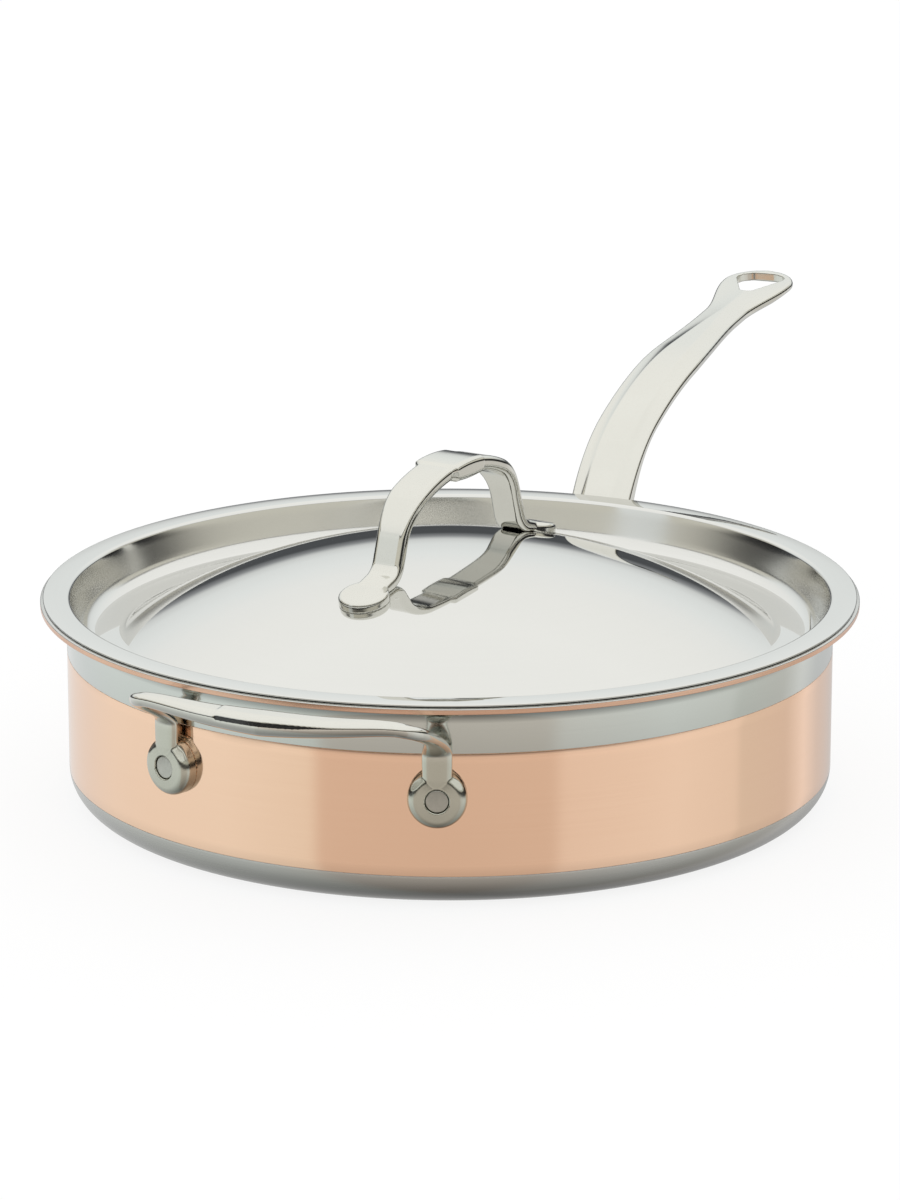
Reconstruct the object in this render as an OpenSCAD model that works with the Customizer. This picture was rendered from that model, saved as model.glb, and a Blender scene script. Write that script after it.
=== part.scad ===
// Copper-clad saute pan with a long handle, a helper handle and a recessed domed lid.
// Origin at the centre of the underside, +X along the long handle, +Z up, millimetres.

/* [Pan body] */
// Outer diameter of the straight wall
pan_d = 288; // [250:1:320]
// Height of the top of the pouring lip above the table
pan_h = 77.2; // [75:0.1:100]
// Outer radius of the corner between base and wall
corner_r = 13; // [9:0.5:18]
// Thickness of the inner stainless ply
liner_t = 0.5; // [0.4:0.1:0.8]
// Thickness of the aluminium core ply
core_t = 1.3; // [1:0.1:2]
// Thickness of the outer ply: base plate, copper jacket and rim band in turn
skin_t = 0.6; // [0.4:0.1:0.9]
// Height of the seam between the base plate and the copper
copper_low_z = 12.4; // [9:0.1:18]
// Height of the rim band, from its seam with the copper to the top of the lip
band_h = 19.4; // [15:0.1:22]

/* [Pouring lip] */
// How far the lip stands out from the wall
lip_reach = 9.7; // [8:0.1:12]
// Radius of the hollow under the lip
flare_r = 6; // [4:0.5:6.5]
// How far the core stays back from the edge of the lip, where the steel plies close over it
edge_seal = 2.6; // [2:0.1:4]

/* [Rivets] */
// Diameter of a rivet's shank
shank_d = 6.4; // [5:0.1:7]
// Radial clearance of a shank in its holes
shank_fit = 0.1; // [0.05:0.05:0.2]
// Diameter of a rivet's domed head inside the pan
head_d = 13; // [10:0.5:15]
// Height of a rivet's domed head
head_t = 1.8; // [1.2:0.1:2.4]
// Diameter of a rivet's flat tail in its pad
tail_d = 8.2; // [7.5:0.1:10]
// Thickness of the flat tail
tail_t = 1.4; // [1:0.1:2]
// How far the tail lies below the face of its pad
tail_sink = 0.3; // [0.1:0.1:0.6]

/* [Helper handle] */
// Straight distance between its two rivets, at the wall
helper_span = 101.6; // [90:0.2:110]
// Depth of its rivets below the top of the lip
helper_rivet_drop = 35.2; // [33:0.1:38]
// Diameter of a riveted pad
pad_d = 20.6; // [18:0.2:24]
// Thickness of a riveted pad
pad_t = 4.8; // [4:0.1:6]
// Radius of the pad's rounded front edge
pad_edge_r = 1.6; // [0.8:0.1:2]
// Distance from a pad's middle to the bevels on its upper shoulders
bevel_at = 7.2; // [6.4:0.1:8]
// Slope of those bevels
bevel_slope = 46; // [25:1:50]
// Height above the pad's middle at which the bevels stop
bevel_stop = 2.4; // [1:0.1:4]
// Distance from the wall to the middle of the bar
helper_reach = 27; // [25:0.5:34]
// Depth of the middle of the bar below the top of the lip
bar_drop = 3; // [2.6:0.1:6]
// How much higher the ends of the bar are than its middle
bar_sag = 0.6; // [0:0.1:2]
// Angle by which the bar's top leans outward
bar_lean = 15; // [5:1:20]
// Width of the bar at its middle, seen from above
bar_w = 15; // [11:0.5:18]
// Thickness of the bar at its middle
bar_t = 6.6; // [5:0.2:9]
// Width of the bar where it starts to bend toward a leg
bar_end_w = 6.6; // [5.4:0.2:10]
// Thickness of the bar there
bar_end_t = 4; // [3:0.2:5]
// Width of a leg
leg_w = 10.8; // [8:0.2:12]
// Thickness of a leg
leg_t = 4.2; // [3:0.2:5]
// Space between a leg and the wall
leg_gap = 0.8; // [0.5:0.1:2]
// Height of the bend from a leg to the bar
bend_h = 16.5; // [12:0.5:18]
// Distance round the pan that the bend takes up
bend_run = 14; // [12:0.5:20]
// Height of the bar's flat facet above its middle line
bar_facet_z = 2.6; // [1.8:0.1:3]

/* [Long handle] */
// Distance from the pan's centre to the tip
handle_tip_x = 366; // [330:1:400]
// Depth below the lip's top at which its own top leaves the flange
stem_drop = 19.8; // [18:0.2:24]
// Distance from the wall to its top at that height
stem_reach = 3.5; // [2.5:0.1:5]
// Length of the straight stem that is cast into the flange
stem_root_l = 20; // [16:0.5:22]
// Slope of the stem where it leaves the flange
stem_slope = 72; // [66:1:74]
// Slope where the stem's tight curve ends
knee_slope = 22; // [18:1:26]
// Slope of the grip up to its tip
grip_slope = 5.2; // [3:0.1:8]
// Radius of the stem's tight curve
stem_bend_r = 75; // [65:1:85]
// Radius of the long curve from the knee to the grip
grip_bend_r = 230; // [180:5:250]
// Width of the handle at its root
root_w = 25; // [21:0.5:28]
// Width at the neck in front of the hanging hole
neck_w = 18.6; // [15:0.2:21]
// Width across the hanging hole
end_w = 31; // [28:0.5:36]
// Distance from the tip at which the handle starts to narrow
narrow_from = 131; // [120:1:140]
// Distance from the tip to the near end of the neck
neck_from = 68; // [62:1:74]
// Length of the neck
neck_l = 10; // [6:1:12]
// Length of the rounded end
end_round_l = 16; // [14:0.5:18]
// Thickness in the middle of the root
root_t = 10; // [8:0.2:11]
// Thickness in the middle of the grip
grip_t = 6.6; // [5.4:0.2:7.5]
// Thickness at the hanging hole
end_t = 4; // [3.2:0.2:5]
// Thickness of the handle's long edges
edge_t = 3.6; // [3:0.1:4]
// Radius that rounds those edges
edge_r = 1.2; // [0.8:0.1:1.4]
// Width of the flat facet that runs down the middle of its top
facet_w = 12; // [9:0.5:14]
// How far the top falls from that facet to the edges
facet_drop = 2; // [1.2:0.1:2.4]
// Distance from the pan's centre at which the facet starts to close to a point
facet_from = 200; // [190:1:215]
// Length over which it closes
facet_l = 110; // [90:1:120]
// Radius of the hanging hole's narrow end
hole_tip_r = 3.4; // [2.6:0.1:4]
// Radius of the corners at its wide end
hole_corner_r = 6.6; // [5:0.1:7.4]
// Length of the hanging hole
hole_l = 27; // [22:0.5:29]
// Width of the hanging hole at its wide end
hole_w = 21; // [16:0.5:22]
// Metal left between the hanging hole and the tip
hole_wall = 4.6; // [4:0.1:6]
// Straight distance between the two rivets of the flange, at the wall
flange_span = 46; // [42:1:52]
// Depth of the flange's rivets below the top of the lip
flange_rivet_drop = 35.2; // [33:0.1:38]
// Height of the flange's plate between its rivets
flange_h = 20; // [16:0.5:22]

/* [Lid] */
// Gap between the seated lid and the lip
lid_gap = 0.2; // [0.1:0.05:0.3]
// Thickness of the lid's sheet
lid_t = 0.8; // [0.6:0.1:1]
// How far the lid's edge stays back from the edge of the lip
lid_setback = 1; // [0.6:0.1:3]
// Width of the lid's flat rim
lid_rim_w = 8.8; // [8.4:0.1:11]
// Depth of the recess inside the rim
recess_depth = 16.2; // [13:0.1:18]
// Angle of the recess wall below the horizontal
recess_slope = 73.3; // [70:0.1:80]
// Radius of the edge where the rim turns down
mouth_r = 1.6; // [1.2:0.1:2.2]
// Radius at the foot of the recess wall
heel_r = 7; // [5:0.5:7.5]
// Width of the flat ring between the recess wall and the dome
groove_w = 7.6; // [6:0.1:20]
// Height of the dome above the floor of the recess
dome_rise = 33; // [20:0.5:36]
// Radius where the dome rises from the floor
dome_root_r = 6; // [4:0.5:8]
// Angle by which the lid is turned in its seat
lid_turn = -9; // [-180:1:180]

/* [Lid handle] */
// Distance between the middles of the two feet
foot_span = 120; // [112:0.5:130]
// Diameter of a foot
foot_d = 19; // [16:0.2:22]
// Thickness of a foot
foot_t = 3.6; // [3:0.1:4.4]
// Radius of a foot's rounded top edge
foot_edge_r = 1.4; // [0.8:0.1:1.5]
// Height of the top of the arch above the top of the dome
arch_rise = 34.6; // [31:0.2:40]
// Slope of the legs below the horizontal
arch_leg_slope = 76; // [72:1:78]
// Slope where the crown ends and the shoulder starts
crown_slope = 22; // [18:1:26]
// Radius of the crown
crown_r = 71.5; // [62:0.5:76]
// Radius of the shoulders
shoulder_r = 24; // [21:0.5:26]
// Radius at the foot of a leg
heel_bend_r = 6.5; // [5.5:0.5:7]
// Width of the strap at its crown
crown_w = 19; // [15:0.5:22]
// Length of the crown's wide part
crown_l = 20; // [14:0.5:26]
// Width of the strap at its shoulders
shoulder_w = 16; // [12:0.5:18]
// Width of the strap's legs
strap_leg_w = 12.4; // [9:0.2:14]
// Width of the strap where it meets a foot
strap_foot_w = 12.4; // [10:0.2:14]
// Thickness of the strap at its crown
crown_t = 6.4; // [4.5:0.1:7]
// Thickness of the strap's legs
strap_leg_t = 4.8; // [3.6:0.1:5.4]
// Height of the strap's flat facet above its middle line, as a share of half its thickness
strap_facet_share = 0.86; // [0.7:0.02:0.94]

/* [Hidden] */

// Overrun of every cut past the face that it leaves
cut = 1;
// Facets of a full circle, finer where a shallow curve meets another; the circles stay true
round_fn = 96;
dome_fn = 360;
ball_fn = 180;
// Points round a strap's section, and steps along a bend and along a long stretch
ring_n = 16;
bend_n = 7;
run_n = 14;
stem_n = 4;
bend_steps = 14;
// Power that squares a strap's elliptical section up
section_power = 0.8;
// Highest that a strap's facet may lie, as a share of half the thickness
facet_limit_share = 0.98;
// Power by which a strap swells from its ends to its middle
swell_power = 1.2;

// Pan: radii and heights that follow from the sizes above
wall_r = pan_d / 2;
sheet_t = liner_t + core_t + skin_t;
inner_r = wall_r - sheet_t;
lip_r = wall_r + lip_reach;
lip_edge_r = sheet_t / 2;
flare_z = pan_h - sheet_t - flare_r;
copper_top_z = pan_h - band_h;

// Handles: where the rivets stand round the wall
helper_az = asin(helper_span / 2 / wall_r);
flange_az = asin(flange_span / 2 / wall_r);
helper_rivet_z = pan_h - helper_rivet_drop;
flange_rivet_z = pan_h - flange_rivet_drop;

// Long handle: corners of the line that its top follows, as [distance from the centre, height]
stem_at = [wall_r + stem_reach, pan_h - stem_drop];
root_at = stem_at - stem_root_l * [cos(stem_slope), sin(stem_slope)];
knee_at = stem_at + stem_bend_r * [sin(stem_slope) - sin(knee_slope), cos(knee_slope) - cos(stem_slope)];
grip_at = knee_at + grip_bend_r * [sin(knee_slope) - sin(grip_slope), cos(grip_slope) - cos(knee_slope)];
end_x = handle_tip_x - end_round_l;
neck_x = handle_tip_x - neck_from;
// Thickness of the stem's lowest end, and the fall of the top's sides at the neck and at the end
root_end_share = 0.7;
neck_drop_share = 0.6;
end_drop_share = 0.2;
// Half the width of the facet where it has closed, and the angle at which the rounded end stops
crease_w = 0.3;
tip_angle = 82;
// Largest rounding of the edges, as a share of their thickness
edge_round_share = 0.45;
// Belly of the section: shares of the half width, and of the way down to the full depth
belly_shares = [[0.6, 0.65], [0.25, 1]];

// Helper handle: where the legs and the bar run
leg_r = wall_r + leg_gap + leg_t / 2;
leg_dip = leg_t / 8;
bar_r = wall_r + helper_reach;
helper_bar_z = pan_h - bar_drop;
bar_az = helper_az - asin(bend_run / bar_r);
bar_end_z = helper_bar_z + bar_sag;
bar_l = bar_r * bar_az * PI / 180;
leg_top_z = helper_bar_z - bend_h;
// Where the leg's root ends, as a share of the way from the rivet to the bend
leg_root_share = 0.8;
// How far the bend keeps to a leg's direction, as a share of its height, and to the bar's, of its run
leg_ease_share = 0.27;
bar_ease_share = 0.93;
// How steeply the bar's ends turn down into the bend, and how late they do
bar_droop_share = 0.1;
droop_power = 5;
// Where the strap has narrowed from a leg's width to the bar's, as a share of the bend
leg_taper_share = 0.65;
// Direction of a pad's bevels away from straight up
bevel_az = 55;

// Lid: heights, and the curves of its pressed sheet
lid_r = lip_r - lid_setback;
lid_top_z = pan_h + lid_gap + lid_t;
lid_floor_z = lid_top_z - recess_depth;
dome_top_z = lid_floor_z + dome_rise;
mouth_x = lid_r - lid_rim_w;
recess_wall_l = (recess_depth - (mouth_r + heel_r) * (1 - cos(recess_slope))) / sin(recess_slope);
heel_x = mouth_x - (mouth_r + heel_r) * sin(recess_slope) - recess_wall_l * cos(recess_slope);
dome_r = heel_x - groove_w;
dome_span = (pow(dome_r, 2) + pow(dome_rise, 2)) / (2 * dome_rise);
dome_ball_r = dome_span - dome_root_r;
dome_ball_z = dome_top_z - dome_ball_r;

// Lid handle: line of the strap from the crown down to a foot, as [distance from the middle, height]
foot_slope = asin(foot_span / 2 / dome_ball_r);
foot_at = [foot_span / 2, dome_ball_z + dome_ball_r * cos(foot_slope)]
  + foot_t / 2 * [sin(foot_slope), cos(foot_slope)];
crown_z = dome_top_z + arch_rise - crown_t / 2 * strap_facet_share;
shoulder_at = crown_r * [sin(crown_slope), 0] + [0, crown_z - crown_r * (1 - cos(crown_slope))];
leg_at = shoulder_at + shoulder_r
  * [sin(arch_leg_slope) - sin(crown_slope), cos(arch_leg_slope) - cos(crown_slope)];
heel_step = heel_bend_r * [sin(arch_leg_slope) - sin(foot_slope), cos(arch_leg_slope) - cos(foot_slope)];
leg_way = foot_at - leg_at - heel_step;
arch_leg_l = (leg_way[0] * sin(foot_slope) + leg_way[1] * cos(foot_slope))
  / -sin(arch_leg_slope - foot_slope);
arch_heel_at = leg_at + arch_leg_l * [cos(arch_leg_slope), -sin(arch_leg_slope)];
// Thickness of the strap in a foot, as a share of the foot's
strap_foot_share = 0.85;
// How much of the strap's thinning is done at its shoulders, and where the crown's narrowing starts
shoulder_t_share = 0.25;
crown_hold_share = 0.7;

// Region inside the sheet's surface at a given depth below its outer face
module body_region(depth) {
  low_r = corner_r - depth;
  translate([0, depth]) square([wall_r - corner_r, pan_h - depth]);
  translate([0, corner_r]) square([wall_r - depth, pan_h - corner_r]);
  translate([wall_r - corner_r, corner_r]) circle(low_r, $fn = round_fn);
  difference() {
    translate([0, flare_z]) square([wall_r + flare_r, pan_h - flare_z]);
    translate([wall_r + flare_r, flare_z]) circle(flare_r + depth, $fn = round_fn);
  }
  if (depth < sheet_t)
    translate([0, pan_h - sheet_t + depth]) square([lip_r, sheet_t - depth]);
}

// The lip's rounded edge, as the region that every ply stays inside
module lip_envelope() {
  square([lip_r - lip_edge_r, pan_h]);
  translate([lip_r - lip_edge_r, pan_h - lip_edge_r]) circle(lip_edge_r, $fn = round_fn);
}

module ply_profile(outer_depth, inner_depth) {
  intersection() {
    difference() {
      body_region(outer_depth);
      body_region(inner_depth);
    }
    lip_envelope();
  }
}

// Space that the aluminium takes, short of the edge of the lip
module core_profile() {
  intersection() {
    ply_profile(skin_t, skin_t + core_t);
    square([lip_r - edge_seal, pan_h]);
  }
}

module band_between(low_z, high_z) {
  translate([0, low_z]) square([lip_r + cut, high_z - low_z]);
}

// Holes through the wall for one handle's pair of rivets
module rivet_holes(az, z) {
  for (side = [-1, 1])
    rotate(side * az) translate([inner_r - head_t - cut, 0, z]) rotate([0, 90, 0])
      cylinder(h = sheet_t + head_t + pad_t + 2 * cut, r = shank_d / 2 + shank_fit, $fn = round_fn);
}

module all_rivet_holes() {
  rivet_holes(flange_az, flange_rivet_z);
  rotate(180) rivet_holes(helper_az, helper_rivet_z);
}

module base_plate() {
  color([0.62, 0.62, 0.61])
    rotate_extrude($fn = round_fn) intersection() {
      ply_profile(0, skin_t);
      band_between(0, copper_low_z);
    }
}

module copper_jacket() {
  color([0.87, 0.64, 0.50])
    difference() {
      rotate_extrude($fn = round_fn) intersection() {
        ply_profile(0, skin_t);
        band_between(copper_low_z, copper_top_z);
      }
      all_rivet_holes();
    }
}

module rim_band() {
  color([0.76, 0.77, 0.78])
    rotate_extrude($fn = round_fn) difference() {
      intersection() {
        ply_profile(0, skin_t + core_t);
        band_between(copper_top_z, pan_h);
      }
      core_profile();
    }
}

module aluminium_core() {
  color([0.80, 0.81, 0.82])
    difference() {
      rotate_extrude($fn = round_fn) core_profile();
      all_rivet_holes();
    }
}

module steel_liner() {
  color([0.78, 0.78, 0.77])
    difference() {
      rotate_extrude($fn = round_fn) ply_profile(skin_t + core_t, sheet_t);
      all_rivet_holes();
    }
}

// A riveted pad: a disc against the wall with a rounded front edge and a bevel on each upper shoulder
module pad_blank() {
  difference() {
    rotate([0, 90, 0]) rotate_extrude($fn = round_fn) {
      translate([0, -pad_t]) square([pad_d / 2, pad_t * 2 - pad_edge_r]);
      square([pad_d / 2 - pad_edge_r, pad_t]);
      translate([pad_d / 2 - pad_edge_r, pad_t - pad_edge_r]) circle(pad_edge_r, $fn = round_fn);
    }
    intersection() {
      translate([0, -pad_d, bevel_stop]) cube([pad_t + pad_d, 2 * pad_d, pad_d]);
      for (side = [-1, 1])
        rotate([side * bevel_az, 0, 0]) translate([pad_t, 0, bevel_at]) rotate([0, -bevel_slope, 0])
          translate([0, -pad_d / 2, -pad_t]) cube([pad_d, pad_d, pad_d]);
    }
  }
}

// Everything that is taken out of riveted pads: the wall behind them, the holes and the tails' seats
module pad_cuts(az, z) {
  translate([0, 0, -cut]) cylinder(h = pan_h, r = wall_r, $fn = round_fn);
  for (side = [-1, 1])
    rotate(side * az) translate([wall_r, 0, z]) rotate([0, 90, 0]) {
      translate([0, 0, -pad_t]) cylinder(h = pad_t * 3, r = shank_d / 2 + shank_fit, $fn = round_fn);
      translate([0, 0, pad_t - tail_sink - tail_t])
        cylinder(h = pad_t * 2, r = tail_d / 2 + shank_fit, $fn = round_fn);
    }
}

// A rivet: domed head against the inside of the wall, shank, and flat tail sunk in the pad
module rivet(az, z) {
  head_ball_r = (pow(head_d / 2, 2) + pow(head_t, 2)) / (2 * head_t);
  shank_end = wall_r + pad_t - tail_sink;
  rotate(az) {
    intersection() {
      cylinder(h = pan_h, r = inner_r, $fn = dome_fn);
      translate([inner_r, 0, z]) rotate([0, -90, 0]) intersection() {
        cylinder(h = 2 * head_t, d = head_d, center = true, $fn = round_fn);
        translate([0, 0, head_t - head_ball_r]) sphere(head_ball_r, $fn = round_fn);
      }
    }
    translate([inner_r - head_t / 2, 0, z]) rotate([0, 90, 0])
      cylinder(h = shank_end - inner_r + head_t / 2, d = shank_d, $fn = round_fn);
    translate([shank_end - tail_t, 0, z]) rotate([0, 90, 0])
      cylinder(h = tail_t, d = tail_d, $fn = round_fn);
  }
}

// Eases from 0 to 1 as v goes from a to b
function ease(v, a, b) = let (x = min(max((v - a) / (b - a), 0), 1)) x * x * (3 - 2 * x);
function mix(a, b, share) = a + (b - a) * share;

// Directions seen from above: away from the pan's axis, and round it
function out(az) = [cos(az), sin(az), 0];
function around(az) = [-sin(az), cos(az), 0];

// Where a path is that left a point on an arc at one slope and has turned downward to another
function arc_point(at, r, from, to) = at + r * [sin(from) - sin(to), cos(to) - cos(from)];

// Point of a smooth curve that leaves the first of four corners toward the second and reaches the last
// from the third, and its direction there
function curve_point(corners, t) = corners[0] * pow(1 - t, 3) + corners[1] * 3 * t * pow(1 - t, 2)
  + corners[2] * 3 * t * t * (1 - t) + corners[3] * pow(t, 3);
function curve_way(corners, t) = (corners[1] - corners[0]) * pow(1 - t, 2)
  + (corners[2] - corners[1]) * 2 * t * (1 - t) + (corners[3] - corners[2]) * t * t;
function unit(v) = v / norm(v);
function square_to(v, way) = v - (v * way) * way;

// A station of a path holds its place, the direction across it, the direction of its top, and a section
function placed(station) = [for (p = station[3]) station[0] + p[0] * station[1] + p[1] * station[2]];
function flipped(station, mirrored) = [for (i = [0 : 3]) i < 3 ? mirrored(station[i]) : station[i]];
function reversed(list) = [for (i = [len(list) - 1 : -1 : 0]) list[i]];

// Right half of a section, from the top round to the underside, and its mirror image
function both_halves(right) = concat(right, [for (p = reversed(right)) [-p[0], p[1]]]);

// Solid through a row of stations whose sections all have the same number of points
module loft(stations) {
  points = [for (station = stations) each placed(station)];
  n = len(stations[0][3]);
  last = len(stations) - 1;
  sides = [
    for (i = [0 : last - 1])
      for (j = [0 : n - 1])
        let (k = (j + 1) % n, below = i * n, above = (i + 1) * n)
          each [[below + j, above + k, above + j], [below + j, below + k, above + k]]
  ];
  start = [for (j = [n - 1 : -1 : 0]) j];
  end = [for (j = [0 : n - 1]) last * n + j];
  polyhedron(points, concat([start, end], sides));
}

// Strap: a squared-up ellipse with a flat facet on top, at a height above its middle line
function strap_section(width, thick, facet_z) =
  let (
    top = min(facet_z / (thick / 2), facet_limit_share),
    from = asin(pow(top, 1 / section_power)),
    step = (90 + from) / (ring_n / 2 - 0.5)
  )
  both_halves([
    for (k = [0 : ring_n / 2 - 1])
      let (a = from - k * step)
        [width / 2 * squared_up(cos(a)), thick / 2 * squared_up(sin(a))]
  ]);
function squared_up(v) = sign(v) * pow(abs(v), section_power);

// Long handle: a flat facet down the middle of the top, sides that fall from it to rounded edges,
// and a belly below. All of it follows the distance from the pan's centre.
function long_section(x) =
  let (
    to_neck = ease(x, handle_tip_x - narrow_from, neck_x),
    to_end = ease(x, neck_x + neck_l, end_x),
    to_grip = ease(x, stem_at[0], knee_at[0]),
    tip_way = max(x - end_x, 0) / end_round_l,
    tip_w_share = sqrt(1 - pow(tip_way * sin(tip_angle), 2)),
    half_w = mix(mix(root_w, neck_w, to_neck), end_w, to_end) / 2 * tip_w_share,
    closing = min(max(x - facet_from, 0) / facet_l, 1),
    crease = max(facet_w / 2 * (1 - closing * closing), crease_w),
    fall = facet_drop * mix(mix(1, neck_drop_share, to_neck), end_drop_share, to_end),
    root_depth = root_t * mix(root_end_share, 1, ease(x, root_at[0], stem_at[0])),
    depth = mix(mix(root_depth, grip_t, to_grip), end_t, to_end),
    edge = mix(depth - fall, min(edge_t, depth - fall), to_grip),
    short = max(edge_r - (handle_tip_x - x), 0),
    inset = edge_r - sqrt(edge_r * edge_r - short * short),
    r = min(edge_r, (edge - 2 * inset) * edge_round_share)
  )
  both_halves(concat(
    [[crease, -inset]],
    [for (a = [90, 45, 0]) [half_w - r + r * cos(a), -fall - inset - r + r * sin(a)]],
    [for (a = [0, -45, -90]) [half_w - r + r * cos(a), -fall - edge + inset + r + r * sin(a)]],
    [for (s = belly_shares) [half_w * s[0], mix(-fall - edge, -depth, s[1]) + inset]]
  ));

function long_station(at, slope) =
  [[at[0], 0, at[1]], [0, 1, 0], [-sin(slope), 0, cos(slope)], long_section(at[0])];

long_stations = concat(
  [for (k = [0 : stem_n - 1]) long_station(mix(root_at, stem_at, k / stem_n), stem_slope)],
  [for (k = [0 : run_n])
    let (slope = mix(stem_slope, knee_slope, k / run_n))
      long_station(arc_point(stem_at, stem_bend_r, stem_slope, slope), slope)],
  [for (k = [1 : bend_n])
    let (slope = mix(knee_slope, grip_slope, k / bend_n))
      long_station(arc_point(knee_at, grip_bend_r, knee_slope, slope), slope)],
  [for (k = [1 : run_n])
    let (x = mix(grip_at[0], end_x, k / run_n))
      long_station([x, grip_at[1] + (x - grip_at[0]) * tan(grip_slope)], grip_slope)],
  [for (k = [1 : bend_n])
    let (x = end_x + end_round_l * sin(tip_angle * k / bend_n) / sin(tip_angle))
      long_station([x, grip_at[1] + (x - grip_at[0]) * tan(grip_slope)], grip_slope)]
);

// Outline of the hanging hole: a rounded triangle with its narrow end toward the pan
module hole_outline() {
  tip_at = [hole_tip_r, 0];
  corner_at = [hole_l - hole_corner_r, hole_corner_r - hole_w / 2];
  way = corner_at - tip_at;
  tangent_az = atan2(way[1], way[0]) - acos((hole_tip_r - hole_corner_r) / norm(way));
  normal = [cos(tangent_az), sin(tangent_az)];
  near_side = [tip_at + hole_tip_r * normal, corner_at + hole_corner_r * normal, corner_at];
  polygon(concat(
    near_side,
    [corner_at + [hole_corner_r, 0], [corner_at[0] + hole_corner_r, -corner_at[1]]],
    [for (p = reversed(near_side)) [p[0], -p[1]]]
  ));
  translate(tip_at) circle(hole_tip_r, $fn = round_fn);
  for (side = [-1, 1])
    translate([corner_at[0], side * corner_at[1]]) circle(hole_corner_r, $fn = round_fn);
}

// Flange behind the stem: a curved plate between two riveted pads
module flange() {
  rotate(-flange_az) rotate_extrude(angle = 2 * flange_az, $fn = round_fn)
    translate([wall_r - cut, flange_rivet_z - flange_h / 2]) {
      square([cut + pad_t - pad_edge_r, flange_h]);
      translate([0, pad_edge_r]) square([cut + pad_t, flange_h - 2 * pad_edge_r]);
      for (z = [pad_edge_r, flange_h - pad_edge_r])
        translate([cut + pad_t - pad_edge_r, z]) circle(pad_edge_r, $fn = round_fn);
    }
  for (side = [-1, 1])
    rotate(side * flange_az) translate([wall_r, 0, flange_rivet_z]) pad_blank();
}

module long_handle() {
  hole_x = handle_tip_x - hole_wall - hole_l;
  hole_z = grip_at[1] + (hole_x - grip_at[0]) * tan(grip_slope);
  color([0.78, 0.77, 0.73])
    difference() {
      union() {
        loft(long_stations);
        flange();
      }
      pad_cuts(flange_az, flange_rivet_z);
      translate([hole_x, 0, hole_z]) rotate([0, -grip_slope, 0]) translate([0, 0, -end_t * 2])
        linear_extrude(end_t * 3) hole_outline();
    }
}

module long_handle_rivets() {
  color([0.66, 0.66, 0.63])
    for (side = [-1, 1]) rivet(side * flange_az, flange_rivet_z);
}

// Directions across the leaning bar and of its top
function leaning_out(az) = cos(bar_lean) * out(az) - [0, 0, sin(bar_lean)];
function leaning_up(az) = sin(bar_lean) * out(az) + [0, 0, cos(bar_lean)];

// Height of the bar a share of the way from its middle to an end
function bar_height(share) = helper_bar_z + bar_sag * ease(share, 0, 1)
  + bar_droop_share * bar_l * pow(share, droop_power) * (1 - share);

// Corners that guide the bend from a leg to the bar
bend_line = [
  out(helper_az) * leg_r + [0, 0, leg_top_z],
  out(helper_az) * leg_r + [0, 0, leg_top_z + bend_h * leg_ease_share],
  out(bar_az) * bar_r + [0, 0, bar_end_z]
    + bend_run * bar_ease_share * (around(bar_az) - [0, 0, bar_droop_share]),
  out(bar_az) * bar_r + [0, 0, bar_end_z]
];

// Helper handle, from the pad at one rivet to the middle of its bar
helper_half = concat(
  [for (k = [0 : 1])
    [
      out(helper_az) * (leg_r - leg_dip * (1 - k))
        + [0, 0, mix(helper_rivet_z, leg_top_z, k * leg_root_share)],
      around(helper_az), -out(helper_az), strap_section(leg_w, leg_t, bar_facet_z)
    ]],
  [for (k = [0 : bend_steps])
    let (
      t = k / bend_steps,
      way = unit(curve_way(bend_line, t)),
      top = unit(square_to(mix(-out(helper_az), leaning_up(bar_az), t), way))
    )
      [
        curve_point(bend_line, t), cross(top, way), top,
        strap_section(
          mix(leg_w, bar_end_w, ease(t, 0, leg_taper_share)), mix(leg_t, bar_end_t, t), bar_facet_z
        )
      ]],
  [for (k = [1 : bend_n])
    let (
      a = bar_az * (1 - k / bend_n),
      swell = 1 - pow(a / bar_az, swell_power),
      w = mix(bar_end_w, bar_w, swell)
    )
      [
        out(a) * bar_r + [0, 0, bar_height(a / bar_az)],
        leaning_out(a), leaning_up(a), strap_section(w, mix(bar_end_t, bar_t, swell), bar_facet_z)
      ]]
);
helper_stations = concat(
  helper_half,
  [for (k = [len(helper_half) - 2 : -1 : 0])
    flipped(helper_half[k], function (p) [p[0], -p[1], p[2]])]
);

module helper_handle() {
  color([0.79, 0.78, 0.75])
    rotate(180) difference() {
      union() {
        loft(helper_stations);
        for (side = [-1, 1])
          rotate(side * helper_az) translate([wall_r, 0, helper_rivet_z]) pad_blank();
      }
      pad_cuts(helper_az, helper_rivet_z);
    }
}

module helper_handle_rivets() {
  color([0.66, 0.66, 0.63])
    rotate(180) for (side = [-1, 1]) rivet(side * helper_az, helper_rivet_z);
}

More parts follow.
